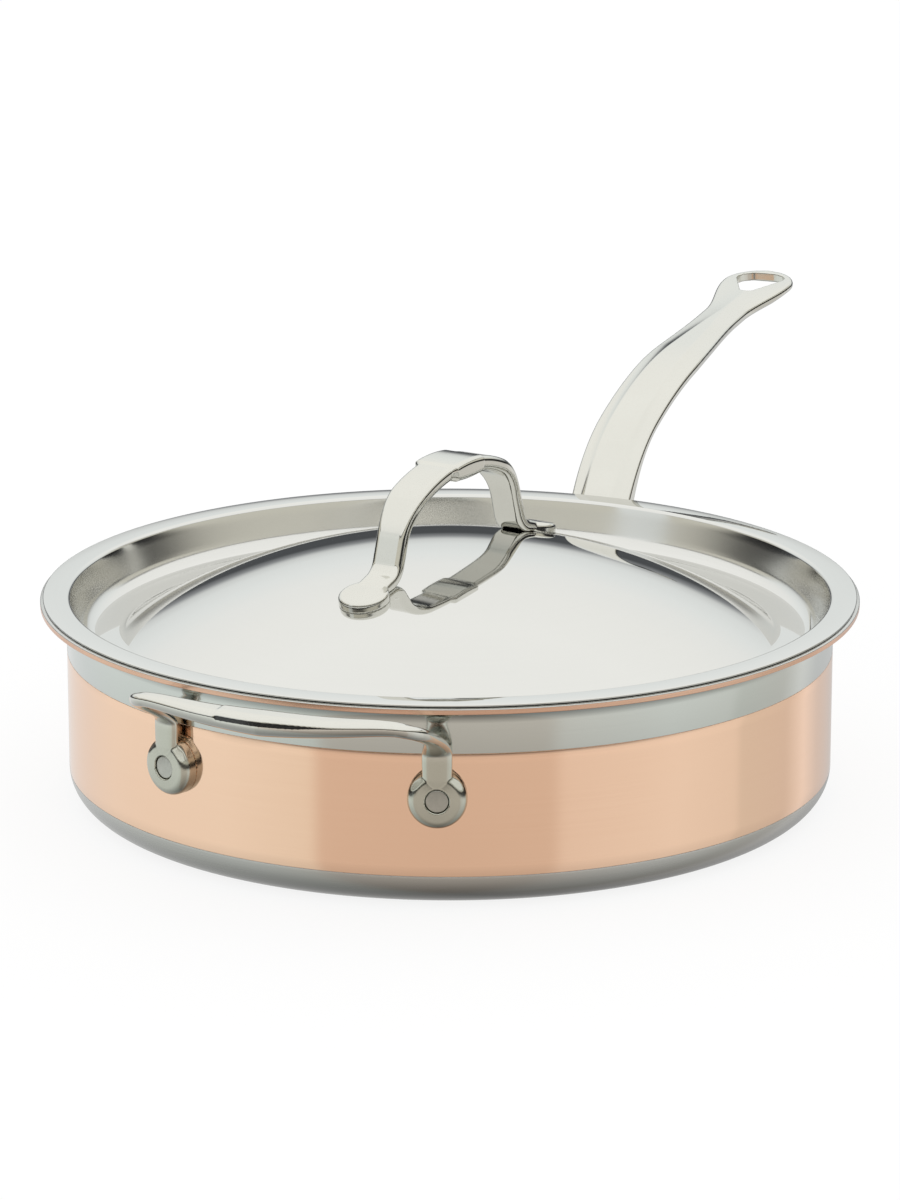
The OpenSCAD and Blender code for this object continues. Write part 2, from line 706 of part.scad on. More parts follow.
// Space under the lid's sheet at a given depth below its upper face
module lid_region(depth) {
  slope_out = [sin(recess_slope), -cos(recess_slope)];
  root_at = [dome_r, lid_floor_z + dome_root_r];
  heel_at = [heel_x, lid_floor_z + heel_r];
  mouth_at = [mouth_x, lid_top_z - mouth_r];
  dome_foot = [0, dome_ball_z] + (dome_ball_r - depth) / dome_span * (root_at - [0, dome_ball_z]);
  difference() {
    polygon([
      [0, 0], [lid_r, 0], [lid_r, lid_top_z - depth], [mouth_x, lid_top_z - depth],
      mouth_at - (mouth_r - depth) * slope_out, heel_at + (heel_r + depth) * slope_out,
      [heel_x, lid_floor_z - depth], [dome_r, lid_floor_z - depth],
      dome_foot, [0, dome_foot[1]]
    ]);
    translate(root_at) circle(dome_root_r + depth, $fn = dome_fn);
    translate(heel_at) circle(heel_r + depth, $fn = dome_fn);
  }
  translate(mouth_at) circle(mouth_r - depth, $fn = dome_fn);
  intersection() {
    translate([0, dome_ball_z]) circle(dome_ball_r - depth, $fn = dome_fn);
    square([dome_foot[0], dome_top_z]);
  }
}

module lid_shell() {
  color([0.86, 0.87, 0.86])
    rotate_extrude($fn = round_fn) intersection() {
      difference() {
        lid_region(0);
        lid_region(lid_t);
      }
      union() {
        square([lid_r - lid_t / 2, dome_top_z]);
        translate([lid_r - lid_t / 2, lid_top_z - lid_t / 2]) circle(lid_t / 2, $fn = round_fn);
      }
    }
}

// Lid handle, from the middle of its crown down to the middle of a foot
function strap_station(at, slope, width, thick) =
  [
    [at[0], 0, at[1]], [0, 1, 0], [sin(slope), 0, cos(slope)],
    strap_section(width, thick, thick / 2 * strap_facet_share)
  ];

strap_half = concat(
  [for (k = [0 : bend_n])
    let (
      slope = crown_slope * k / bend_n,
      narrowing = ease(crown_r * sin(slope), crown_l / 2 * crown_hold_share, crown_l / 2)
    )
      strap_station(
        [crown_r * sin(slope), crown_z - crown_r * (1 - cos(slope))], slope,
        mix(crown_w, shoulder_w, narrowing), mix(crown_t, strap_leg_t, narrowing * shoulder_t_share)
      )],
  [for (k = [1 : bend_n])
    let (slope = mix(crown_slope, arch_leg_slope, k / bend_n), narrowing = ease(k, 0, bend_n))
      strap_station(
        shoulder_at + shoulder_r * [sin(slope) - sin(crown_slope), cos(slope) - cos(crown_slope)], slope,
        mix(shoulder_w, strap_leg_w, narrowing),
        mix(crown_t, strap_leg_t, mix(shoulder_t_share, 1, narrowing))
      )],
  [for (k = [0 : bend_n])
    let (slope = mix(arch_leg_slope, foot_slope, k / bend_n))
      strap_station(
        arch_heel_at
          + heel_bend_r * [sin(arch_leg_slope) - sin(slope), cos(arch_leg_slope) - cos(slope)],
        slope, mix(strap_leg_w, strap_foot_w, k / bend_n), strap_leg_t
      )],
  [strap_station(foot_at, foot_slope, strap_foot_w, foot_t * strap_foot_share)]
);
strap_stations = concat(
  [for (k = [len(strap_half) - 1 : -1 : 1])
    flipped(strap_half[k], function (p) [-p[0], p[1], p[2]])],
  strap_half
);

module lid_handle() {
  color([0.80, 0.80, 0.77])
    rotate(lid_turn) difference() {
      union() {
        loft(strap_stations);
        for (side = [0, 180])
          rotate(side) translate([foot_at[0], 0, foot_at[1]]) rotate([0, foot_slope, 0])
            rotate_extrude($fn = round_fn) translate([0, foot_t / 2]) {
              translate([0, -foot_t * 2]) square([foot_d / 2, foot_t * 2 - foot_edge_r]);
              translate([0, -foot_t]) square([foot_d / 2 - foot_edge_r, foot_t]);
              translate([foot_d / 2 - foot_edge_r, -foot_edge_r]) circle(foot_edge_r, $fn = round_fn);
            }
      }
      translate([0, 0, dome_ball_z]) sphere(dome_ball_r, $fn = ball_fn);
    }
}

base_plate();
copper_jacket();
rim_band();
aluminium_core();
steel_liner();
long_handle();
long_handle_rivets();
helper_handle();
helper_handle_rivets();
lid_shell();
lid_handle();
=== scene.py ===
# Copper-clad saute pan with a long handle, a helper handle and a recessed lid
import math
import bpy
import bmesh
import numpy as np
from mathutils import Matrix


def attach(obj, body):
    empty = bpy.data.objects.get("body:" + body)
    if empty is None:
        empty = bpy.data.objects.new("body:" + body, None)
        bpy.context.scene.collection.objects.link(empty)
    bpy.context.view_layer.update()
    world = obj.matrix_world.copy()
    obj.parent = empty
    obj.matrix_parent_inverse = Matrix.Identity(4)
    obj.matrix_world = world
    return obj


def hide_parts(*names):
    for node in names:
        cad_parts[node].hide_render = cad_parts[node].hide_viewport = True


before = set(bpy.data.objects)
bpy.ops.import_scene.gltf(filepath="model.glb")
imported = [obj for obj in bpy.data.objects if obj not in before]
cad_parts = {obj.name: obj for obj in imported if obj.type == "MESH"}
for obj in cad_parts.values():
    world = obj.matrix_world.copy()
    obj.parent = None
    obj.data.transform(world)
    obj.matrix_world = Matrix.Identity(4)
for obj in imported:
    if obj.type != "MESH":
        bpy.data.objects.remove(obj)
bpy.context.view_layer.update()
print("frame loaded:", ", ".join(sorted(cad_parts)))

view = {
    "place": (-1.7104, -0.7050, 0.5878),   # metres, in the pan's own frame
    "heading": 22.4,   # degrees from +X toward +Y
    "pitch": 15.53,   # degrees below the horizon
    "lens": 153.08, "sensor": 36.0,   # millimetres, along the picture's long side
}


def makeCamera():
    data = bpy.data.cameras.new("camera")
    data.lens = view["lens"]
    data.sensor_fit = "VERTICAL"
    data.sensor_height = view["sensor"]
    data.clip_end = 50.0
    camera = bpy.data.objects.new("camera", data)
    turn = Matrix.Rotation(math.radians(view["heading"] - 90.0), 4, "Z")
    tip = Matrix.Rotation(math.radians(90.0 - view["pitch"]), 4, "X")
    camera.matrix_world = Matrix.Translation(view["place"]) @ turn @ tip
    bpy.context.scene.collection.objects.link(camera)
    bpy.context.scene.camera = camera


makeCamera()
print("camera placed")


# Node helpers, shared by the studio and the materials

class Nodes:
    def __init__(self, tree):
        self.tree = tree
        tree.nodes.clear()

    def add(self, kind, **values):
        node = self.tree.nodes.new(kind)
        for name, value in values.items():
            if hasattr(node, name):
                setattr(node, name, value)
            else:
                node.inputs[name].default_value = value
        return node

    def join(self, out, into):
        self.tree.links.new(out, into)

    def give(self, socket, value):   # a number, a colour or another node's output
        if isinstance(value, (int, float)):
            socket.default_value = value
        elif isinstance(value, tuple):
            socket.default_value = (*value, 1.0)
        else:
            self.join(value, socket)

    def math(self, operation, *values):
        node = self.add("ShaderNodeMath", operation=operation)
        for socket, value in zip(node.inputs, values):
            self.give(socket, value)
        return node.outputs[0]

    def ramp(self, factor, stops):
        node = self.add("ShaderNodeValToRGB")
        elements = node.color_ramp.elements
        while len(elements) < len(stops):
            elements.new(0.5)
        for element, (place, colour) in zip(elements, stops):
            element.position = place
            element.color = (*(colour if isinstance(colour, tuple) else [colour] * 3), 1.0)
        self.join(factor, node.inputs["Fac"])
        return node.outputs["Color"]

    def split(self, vector):   # its x, y and z
        node = self.add("ShaderNodeSeparateXYZ")
        self.join(vector, node.inputs[0])
        return node.outputs

    def mix(self, blend, factor, first, second):
        node = self.add("ShaderNodeMix", data_type="RGBA", blend_type=blend)
        for k, value in ((0, factor), (6, first), (7, second)):   # 6 and 7 are its colour sockets
            self.give(node.inputs[k], value)
        return node.outputs[2]


studio = {
    # light by height, as degrees above the horizon, on the far side and on the camera's side
    "far": [(-90, 0.22), (-70, 0.36), (-50, 0.55), (-30, 0.78), (-15, 1.0), (-9, 0.85),
            (-5, (0.08, 0.085, 0.09)), (4, (0.08, 0.085, 0.09)), (7.5, (0.30, 0.31, 0.32)),
            (10, (0.74, 0.76, 0.75)), (13.5, (0.89, 0.92, 0.91)), (19.5, (0.98, 1.01, 1.0)),
            (26, (1.06, 1.07, 1.05)), (36, (1.12, 1.12, 1.09)), (50, (1.16, 1.16, 1.13))],
    "near": [(-90, 0.22), (-70, 0.36), (-50, 0.55), (-30, 0.78), (-15, 1.0), (-9, 1.0),
             (-6, 0.03), (8, 0.03), (11, (0.72, 0.70, 0.61)), (21.5, (0.76, 0.74, 0.65)),
             (22.3, 0.12), (24.2, 0.12),
             (26, (1.12, 1.12, 1.09)), (90, (1.16, 1.16, 1.13))],
    # the share of the camera's side, by degrees round the pan from behind the camera toward the right
    "nearShare": [(0, 1), (128, 1), (140, 0), (230, 0), (240, 1), (286, 1), (289, 0.1), (304, 0.1),
                  (307, 1), (360, 1)],
    # tone of the low light round the pan
    "low": [(0, (0.735, 0.67, 0.60)), (30, (0.755, 0.69, 0.62)), (34, (0.86, 0.83, 0.78)),
            (70, (0.92, 0.925, 0.89)), (94, (0.86, 0.86, 0.82)), (97, (0.76, 0.765, 0.72)),
            (120, (0.74, 0.72, 0.68)), (132, (0.94, 0.93, 0.91)), (144, 0.73), (166, 0.64), (180, 0.84),
            (220, (0.88, 0.90, 0.90)), (240, (0.93, 0.96, 0.94)), (290, (0.94, 0.98, 0.95)),
            (318, (0.88, 0.90, 0.85)), (322, (0.755, 0.69, 0.62)), (360, (0.735, 0.67, 0.60))],
    "lowFade": (-5.4, 0.0),   # degrees over which that tone ends below the horizon
    "softLight": 1.0, "floorGlow": 0.84, "floorColour": 0.17,
    "floorSize": 16.0, "floorDrop": 0.0002,
}


def makeStudio():
    world = bpy.data.worlds.new("studio")
    bpy.context.scene.world = world
    world.use_nodes = True
    n = Nodes(world.node_tree)
    x, y, z = n.split(n.add("ShaderNodeTexCoord").outputs["Generated"])
    back = math.radians(view["heading"] + 180.0)   # from the pan to the camera
    backX, backY = math.cos(back), math.sin(back)
    along = n.math("ADD", n.math("MULTIPLY", x, backX), n.math("MULTIPLY", y, backY))
    across = n.math("SUBTRACT", n.math("MULTIPLY", y, backX), n.math("MULTIPLY", x, backY))
    turn = n.math("DIVIDE", n.math("ARCTAN2", across, along), 2 * math.pi)
    turn = n.math("FRACT", n.math("ADD", turn, 1.0))
    height = n.math("ADD", n.math("DIVIDE", n.math("ARCSINE", z), math.pi), 0.5)
    byHeight = [[((h + 90) / 180, tone) for h, tone in studio[side]] for side in ("far", "near")]
    byTurn = [[(a / 360, tone) for a, tone in studio[name]] for name in ("nearShare", "low")]
    farLight, nearLight = [n.ramp(height, stops) for stops in byHeight]
    whole = n.mix("MIX", n.ramp(turn, byTurn[0]), farLight, nearLight)
    fadeFrom, fadeTo = [(h + 90) / 180 for h in studio["lowFade"]]
    lowPart = n.ramp(height, [(fadeFrom, 1.0), (fadeTo, 0.0)])
    toned = n.mix("MULTIPLY", lowPart, whole, n.ramp(turn, byTurn[1]))
    seen = n.add("ShaderNodeBackground", Strength=1.0)
    n.join(toned, seen.inputs["Color"])
    soft = n.add("ShaderNodeBackground", Color=(1.0, 1.0, 1.0, 1.0), Strength=studio["softLight"])
    path = n.add("ShaderNodeLightPath")
    mirrored = n.math("MAXIMUM", path.outputs["Is Glossy Ray"], path.outputs["Is Transmission Ray"])
    pick = n.add("ShaderNodeMixShader")
    n.join(mirrored, pick.inputs["Fac"])
    n.join(soft.outputs[0], pick.inputs[1])
    n.join(seen.outputs[0], pick.inputs[2])
    n.join(pick.outputs[0], n.add("ShaderNodeOutputWorld").inputs["Surface"])


def makeFloor():
    size, place = studio["floorSize"], (0, 0, -studio["floorDrop"])
    bpy.ops.mesh.primitive_grid_add(x_subdivisions=4, y_subdivisions=4, size=size, location=place)
    floor = bpy.context.object
    floor.name = "studioFloor"
    material = bpy.data.materials.new("paleFloor")
    material.use_nodes = True
    n = Nodes(material.node_tree)
    tone = studio["floorColour"]
    matt = n.add("ShaderNodeBsdfDiffuse", Color=(tone, tone, tone, 1.0))
    glow = n.add("ShaderNodeEmission", Color=(1.0, 1.0, 1.0, 1.0), Strength=studio["floorGlow"])
    both = n.add("ShaderNodeAddShader")
    n.join(matt.outputs[0], both.inputs[0])
    n.join(glow.outputs[0], both.inputs[1])
    n.join(both.outputs[0], n.add("ShaderNodeOutputMaterial").inputs["Surface"])
    floor.data.materials.append(material)
    floor.visible_glossy = False   # the metal sees the studio's own low light there
    floor.visible_diffuse = False


makeStudio()
makeFloor()
bpy.context.scene.view_settings.view_transform = "Standard"
print("studio ready")


# Finishes. Each has its own colour, its polishing marks and faint dents.

finish = {
    "polishedCopper": {
        "colour": (0.93, 0.655, 0.495), "tint": (0.90, 0.60, 0.43), "roughness": (0.07, 0.13),
        "marks": 0.9, "markDepth": 1.2e-6, "dents": 8e-6, "dentSize": 26.0},
    "cutCopper": {
        "colour": (0.82, 0.54, 0.40), "tint": (0.70, 0.43, 0.31), "roughness": (0.20, 0.32),
        "marks": 1.2, "markDepth": 3e-6, "dents": 6e-6, "dentSize": 60.0},
    "polishedBand": {
        "colour": (0.65, 0.675, 0.65), "tint": (0.595, 0.62, 0.595), "roughness": (0.09, 0.16),
        "marks": 0.9, "markDepth": 1.2e-6, "dents": 8e-6, "dentSize": 26.0},
    "turnedBase": {
        "colour": (0.56, 0.555, 0.535), "tint": (0.47, 0.465, 0.445), "roughness": (0.20, 0.30),
        "marks": 1.6, "markDepth": 4.5e-6, "dents": 6e-6, "dentSize": 20.0},
    "satinLiner": {
        "colour": (0.64, 0.64, 0.62), "tint": (0.58, 0.58, 0.56), "roughness": (0.16, 0.24),
        "marks": 1.4, "markDepth": 3e-6, "dents": 5e-6, "dentSize": 20.0},
    "coreAluminium": {
        "colour": (0.80, 0.80, 0.80), "tint": (0.74, 0.74, 0.74), "roughness": (0.30, 0.42),
        "marks": 1.2, "markDepth": 3e-6, "dents": 4e-6, "dentSize": 20.0},
    "mirrorLid": {
        "colour": (0.70, 0.70, 0.685), "tint": (0.67, 0.67, 0.65), "roughness": (0.025, 0.05),
        "marks": 0.8, "markDepth": 4e-7, "dents": 1e-5, "dentSize": 16.0,
        # the recess wall is duller, between these radii
        "satinRing": (0.1365, 0.1385, 0.1420, 0.1424), "satin": 0.18},
    "polishedCast": {
        "colour": (0.70, 0.695, 0.655), "tint": (0.64, 0.635, 0.59), "roughness": (0.07, 0.13),
        "dents": 2.2e-5, "dentSize": 90.0, "grain": 1.5e-6},
    "satinRivet": {
        "colour": (0.56, 0.56, 0.52), "tint": (0.46, 0.46, 0.42), "roughness": (0.26, 0.38),
        "dents": 2e-5, "dentSize": 260.0, "grain": 6e-6},
}
# the helper handle's legs and pads are duller than its bar below these heights, and their colour is
# darkened there as painted shade
finish["barCast"] = {**finish["polishedCast"], "satinAndShadeBelow": (0.056, 0.064), "satin": 0.20,
                     "satinColour": (0.80, 0.81, 0.76)}

surface = {
    "roundMarks": 2600.0, "alongMarks": 1.6,   # how close the marks lie, across and along their run
    "castMarks": 900.0, "castGrain": 2600.0, "noise": 0.55,
    "markShare": 0.55, "cloudShare": 0.45, "cloudSize": 0.6, "tintShare": 0.8,
    "spread": (0.32, 0.68),   # noise values of the smoothest and the dullest metal
    "rampReach": 0.2,   # metres, where the ramps by radius and by height end
}


def noise(n, vector, scale, detail):
    node = n.add("ShaderNodeTexNoise", Scale=scale, Detail=detail, Roughness=surface["noise"])
    n.join(vector, node.inputs["Vector"])
    return node.outputs["Fac"]


def bump(n, heightValue, distance, under=None):
    node = n.add("ShaderNodeBump", Strength=1.0, Distance=distance)
    n.join(heightValue, node.inputs["Height"])
    if under is not None:
        n.join(under, node.inputs["Normal"])
    return node.outputs["Normal"]


def fromAxis(n, x, y):
    return n.math("SQRT", n.math("ADD", n.math("MULTIPLY", x, x), n.math("MULTIPLY", y, y)))


def roundCoordinates(n, place):   # for marks that run round the pan
    x, y, z = n.split(place)
    turn = n.math("ABSOLUTE", n.math("ARCTAN2", y, x))
    point = n.add("ShaderNodeCombineXYZ")
    n.join(n.math("MULTIPLY", fromAxis(n, x, y), surface["roundMarks"]), point.inputs[0])
    n.join(n.math("MULTIPLY", turn, surface["alongMarks"]), point.inputs[1])
    n.join(n.math("MULTIPLY", z, surface["roundMarks"]), point.inputs[2])
    return point.outputs[0]


def makeMetal(name, f):
    material = bpy.data.materials.new(name)
    material.use_nodes = True
    n = Nodes(material.node_tree)
    place = n.add("ShaderNodeTexCoord").outputs["Object"]
    wide = noise(n, place, f["dentSize"], 2.0)
    normal = bump(n, wide, f["dents"])
    if "marks" in f:
        marks = noise(n, roundCoordinates(n, place), f["marks"], 3.0)
        normal = bump(n, marks, f["markDepth"], normal)
    else:
        marks = noise(n, place, surface["castMarks"], 3.0)
        normal = bump(n, noise(n, place, surface["castGrain"], 2.0), f["grain"], normal)
    shader = n.add("ShaderNodeBsdfPrincipled", Metallic=1.0)
    cloud = noise(n, place, f["dentSize"] * surface["cloudSize"], 3.0)
    markPart = n.math("MULTIPLY", marks, surface["markShare"])
    both = n.math("ADD", markPart, n.math("MULTIPLY", cloud, surface["cloudShare"]))
    spread = n.add("ShaderNodeMapRange")
    n.join(both, spread.inputs["Value"])
    ends = zip(("From Min", "From Max", "To Min", "To Max"), surface["spread"] + f["roughness"])
    for end, value in ends:
        spread.inputs[end].default_value = value
    roughness = spread.outputs["Result"]
    colour = n.mix("MIX", n.math("MULTIPLY", both, surface["tintShare"]), f["colour"], f["tint"])
    if "satin" in f:
        x, y, z = n.split(place)
        reach = surface["rampReach"]
        if "satinRing" in f:
            measure, stops = fromAxis(n, x, y), zip(f["satinRing"], (0.0, 1.0, 1.0, 0.0))
        else:
            measure, stops = z, zip(f["satinAndShadeBelow"], (1.0, 0.0))
        share = n.ramp(n.math("DIVIDE", measure, reach), [(at / reach, tone) for at, tone in stops])
        roughness = n.math("MAXIMUM", roughness, n.math("MULTIPLY", share, f["satin"]))
        # painted shade: the colour is darkened by the height ramp, on the helper handle's legs and pads
        if "satinColour" in f:
            colour = n.mix("MULTIPLY", share, colour, f["satinColour"])
    n.join(roughness, shader.inputs["Roughness"])
    n.join(colour, shader.inputs["Base Color"])
    n.join(normal, shader.inputs["Normal"])
    n.join(shader.outputs[0], n.add("ShaderNodeOutputMaterial").inputs["Surface"])
    return material


metal = {name: makeMetal(name, f) for name, f in finish.items()}
print("finishes ready")


# Sizes are in millimetres here and are made into metres when a mesh is finished
mm = 0.001


def ease(value, start, end):
    x = min(max((value - start) / (end - start), 0.0), 1.0)
    return x * x * (3.0 - 2.0 * x)


def mix(first, second, share):
    return first + (second - first) * share


def arc(centre, radius, start, end, steps):   # points of an arc, angles in degrees
    turns = np.radians(np.linspace(start, end, steps + 1))
    return [(centre[0] + radius * math.cos(t), centre[1] + radius * math.sin(t)) for t in turns]


def slant(degrees):   # sine and cosine
    a = math.radians(degrees)
    return np.array([math.sin(a), math.cos(a)])


def line(first, last, steps):
    shares = [k / steps for k in range(1, steps)]
    return [(mix(first[0], last[0], s), mix(first[1], last[1], s)) for s in shares]


def meshFrom(name, points, faces):
    mesh = bpy.data.meshes.new(name)
    mesh.from_pydata([tuple(p) for p in points], [], faces)
    mesh.validate()
    piece = bpy.data.objects.new(name, mesh)
    bpy.context.scene.collection.objects.link(piece)
    return piece


def lathe(name, profile, turns):   # closed profile of [radius, height] turned round Z
    profile = [p for k, p in enumerate(profile) if math.dist(p, profile[k - 1]) > 1e-6]
    count = len(profile)
    points = []
    starts = []
    for radius, height in profile:
        starts.append(len(points))
        if radius < 1e-6:
            points.append((0.0, 0.0, height))
            continue
        for k in range(turns):
            a = 2.0 * math.pi * k / turns
            points.append((radius * math.cos(a), radius * math.sin(a), height))
    faces = []
    for i in range(count):
        j = (i + 1) % count
        onAxis = profile[i][0] < 1e-6, profile[j][0] < 1e-6
        if all(onAxis):
            continue
        for k in range(turns):
            m = (k + 1) % turns
            if onAxis[0]:
                faces.append((starts[i], starts[j] + m, starts[j] + k))
            elif onAxis[1]:
                faces.append((starts[i] + k, starts[i] + m, starts[j]))
            else:
                faces.append((starts[i] + k, starts[i] + m, starts[j] + m, starts[j] + k))
    return meshFrom(name, points, faces)


def loft(name, stations):   # closed skin through [place, across, top, section] stations
    points = []
    for place, across, top, section in stations:
        place, across, top = np.array(place), np.array(across), np.array(top)
        for x, y in section:
            points.append(place + x * across + y * top)
    ring = len(stations[0][3])
    faces = []
    for i in range(len(stations) - 1):
        for k in range(ring):
            m = (k + 1) % ring
            faces.append((i * ring + k, i * ring + m, (i + 1) * ring + m, (i + 1) * ring + k))
    faces.append(tuple(reversed(range(ring))))
    faces.append(tuple(range(len(points) - ring, len(points))))
    return meshFrom(name, points, faces)


def outward(piece):
    bm = bmesh.new()
    bm.from_mesh(piece.data)
    bmesh.ops.recalc_face_normals(bm, faces=bm.faces)
    bm.to_mesh(piece.data)
    bm.free()
    return piece


def turned(piece, degrees, axis):
    piece.data.transform(Matrix.Rotation(math.radians(degrees), 4, axis))
    return piece


def moved(piece, x, y, z):
    piece.data.transform(Matrix.Translation((x, y, z)))
    return piece


def drop(*pieces):
    for piece in pieces:
        mesh = piece.data
        bpy.data.objects.remove(piece)
        bpy.data.meshes.remove(mesh)


def reshape(piece, kind, **values):   # gives the piece the mesh that one modifier makes of it
    modifier = piece.modifiers.new(kind, kind)
    for name, value in values.items():
        setattr(modifier, name, value)
    evaluated = piece.evaluated_get(bpy.context.evaluated_depsgraph_get())
    mesh = bpy.data.meshes.new_from_object(evaluated)
    piece.modifiers.clear()
    old, piece.data = piece.data, mesh
    bpy.data.meshes.remove(old)


def relax(piece, rounds, weigh=None):   # smooths the skin, all over or by weigh(points)
    mesh = piece.data
    points = np.empty(len(mesh.vertices) * 3)
    mesh.vertices.foreach_get("co", points)
    points = points.reshape(-1, 3)
    edges = np.empty(len(mesh.edges) * 2, np.int64)
    mesh.edges.foreach_get("vertices", edges)
    first, second = edges.reshape(-1, 2).T
    count = len(points)
    degree = np.bincount(first, minlength=count) + np.bincount(second, minlength=count)
    weight = np.ones(count) if weigh is None else weigh(points)
    inward, back = 0.5, -0.515
    steps = [inward, back] if weigh is None else [inward]   # the step back keeps the size
    for _ in range(rounds):
        for step in steps:
            middle = np.empty_like(points)
            for axis in range(3):
                middle[:, axis] = (np.bincount(first, points[second, axis], count)
                                   + np.bincount(second, points[first, axis], count)) / degree
            points += (middle - points) * (step * weight)[:, None]
    mesh.vertices.foreach_set("co", points.ravel())
    mesh.update()


def relaxNear(piece, rounds, spots, reach, fade=1.8):   # less and less away from the spots
    def weigh(points):
        weight = np.zeros(len(points))
        for spot in spots:
            away = np.linalg.norm((points - spot) / reach, axis=1)
            weight = np.maximum(weight, np.clip(fade - away, 0, 1))
        return weight

    relax(piece, rounds, weigh)


def joined(name, parts):   # one mesh of all the parts
    bm = bmesh.new()
    for part in parts:
        bm.from_mesh(part.data)
    mesh = bpy.data.meshes.new(name)
    bm.to_mesh(mesh)
    bm.free()
    piece = bpy.data.objects.new(name, mesh)
    bpy.context.scene.collection.objects.link(piece)
    drop(*parts)
    return piece


def castTogether(name, parts, cutters, grain, rounds):   # one skin round the parts, its edges softened
    for part in parts:
        outward(part)
        for cutter in cutters:
            reshape(part, "BOOLEAN", operation="DIFFERENCE", solver="EXACT", object=cutter)
    piece = joined(name, parts)
    reshape(piece, "REMESH", mode="VOXEL", voxel_size=grain)
    relax(piece, rounds)
    return piece


def finishPiece(piece, node, body, material, sharp=None):
    piece.data.transform(Matrix.Diagonal((mm, mm, mm, 1.0)))
    outward(piece)
    mesh = piece.data
    mesh.polygons.foreach_set("use_smooth", [True] * len(mesh.polygons))
    if sharp is not None:
        mesh.set_sharp_from_angle(angle=math.radians(sharp))
    mesh.materials.append(metal[material])
    if node:
        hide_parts(node)
    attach(piece, body)
    print("made", piece.name, len(mesh.vertices), "points")


pan = {
    "wallRadius": 144.0, "height": 77.2, "cornerRadius": 13.0,
    "liner": 0.5, "core": 1.3, "skin": 0.6,   # plies, from the inside out
    "lipReach": 9.7, "flareRadius": 6.0, "edgeSeal": 2.6, "edgeRound": 0.3, "edgeFall": 0.3,
    "copperLow": 12.4, "bandHeight": 19.4,
    "seamRound": 0.14, "seamGap": 0.02,   # the rounded edges that draw the two seams
    "edgeGap": 0.12, "linerFrom": 1.4, "linerTurn": 1.1, "linerDip": 0.04, "linerSeal": 1.0,
    "arcSteps": 14, "turns": 480,
}
sheet = pan["liner"] + pan["core"] + pan["skin"]
lipRadius = pan["wallRadius"] + pan["lipReach"]
copperTop = pan["height"] - pan["bandHeight"]


def cornerSide(depth):   # inside of the base and its corner, at a depth below the outer face
    middle = (pan["wallRadius"] - pan["cornerRadius"], pan["cornerRadius"])
    return [(0.0, depth)] + arc(middle, pan["cornerRadius"] - depth, -90, 0, pan["arcSteps"])


def flareSide(depth):   # up the wall and out round the hollow of the lip
    middle = (pan["wallRadius"] + pan["flareRadius"], pan["height"] - sheet - pan["flareRadius"])
    return arc(middle, pan["flareRadius"] + depth, 180, 90, pan["arcSteps"])


def makePly(name, profile, node, material):
    finishPiece(lathe(name, profile, pan["turns"]), node, "pan", material, sharp=50)


def makeBase():
    skin, top, r = pan["skin"], pan["copperLow"], pan["seamRound"]
    outer = [p for p in cornerSide(0.0) if p[1] < top - r]
    inner = [p for p in cornerSide(skin) if p[1] < top - r]
    wall = pan["wallRadius"]
    edge = arc((wall - r - pan["seamGap"], top - r), r, 0, 90, 4)
    end = [(wall - skin + pan["seamGap"], top)]
    makePly("basePlate", outer + edge + end + inner[::-1], "base_plate", "turnedBase")


def makeJacket():
    wall, low, top, r = pan["wallRadius"], pan["copperLow"], copperTop, pan["seamRound"]
    foot = arc((wall - r, low + r), r, -90, 0, 4)
    head = arc((wall - r, top - r), r, 0, 90, 4)
    side = line((wall, low + r), (wall, top - r), 12)
    inner = wall - pan["skin"]
    profile = foot + side + head + [(inner, top), (inner, low)]
    makePly("copperJacket", profile, "copper_jacket", "polishedCopper")


def makeBand():
    wall, low, r = pan["wallRadius"], copperTop, pan["seamRound"]
    seal, underside = lipRadius - pan["edgeSeal"], pan["height"] - sheet
    outer = arc((wall - r, low + r), r, -90, 0, 4) + flareSide(0.0) + [(seal, underside)]
    inner = [(seal, underside + pan["skin"])] + flareSide(pan["skin"])[::-1]
    profile = outer + inner + [(wall - pan["skin"], low)]
    makePly("rimBand", profile, "rim_band", "polishedBand")


def makeLipEdge():   # thin trim: the copper-coloured cut edge below the liner
    seal, low, r = lipRadius - pan["edgeSeal"], pan["height"] - sheet, pan["edgeRound"]
    high = pan["height"] - pan["liner"] - pan["edgeGap"]
    foot = arc((lipRadius - r, low + r), r, -90, 0, 8)
    profile = [(seal, low)] + foot + [(lipRadius, high), (seal, high)]
    makePly("lipEdge", profile, None, "cutCopper")


def makeLiner():
    under, r = sheet - pan["liner"], pan["edgeRound"]
    inside = cornerSide(sheet) + flareSide(sheet)
    top, low = pan["height"], pan["height"] - pan["liner"]
    edge = [(lipRadius - pan["linerFrom"], top), (lipRadius - pan["linerTurn"], top - pan["linerDip"])]
    edge += arc((lipRadius - r, top - pan["edgeFall"] - r), r, 80, 0, 8)
    seal = [(lipRadius, low - pan["edgeGap"]), (lipRadius - pan["linerSeal"], low)]
    outside = edge + seal + flareSide(under)[::-1] + cornerSide(under)[::-1]
    makePly("steelLiner", inside + outside, "steel_liner", "satinLiner")


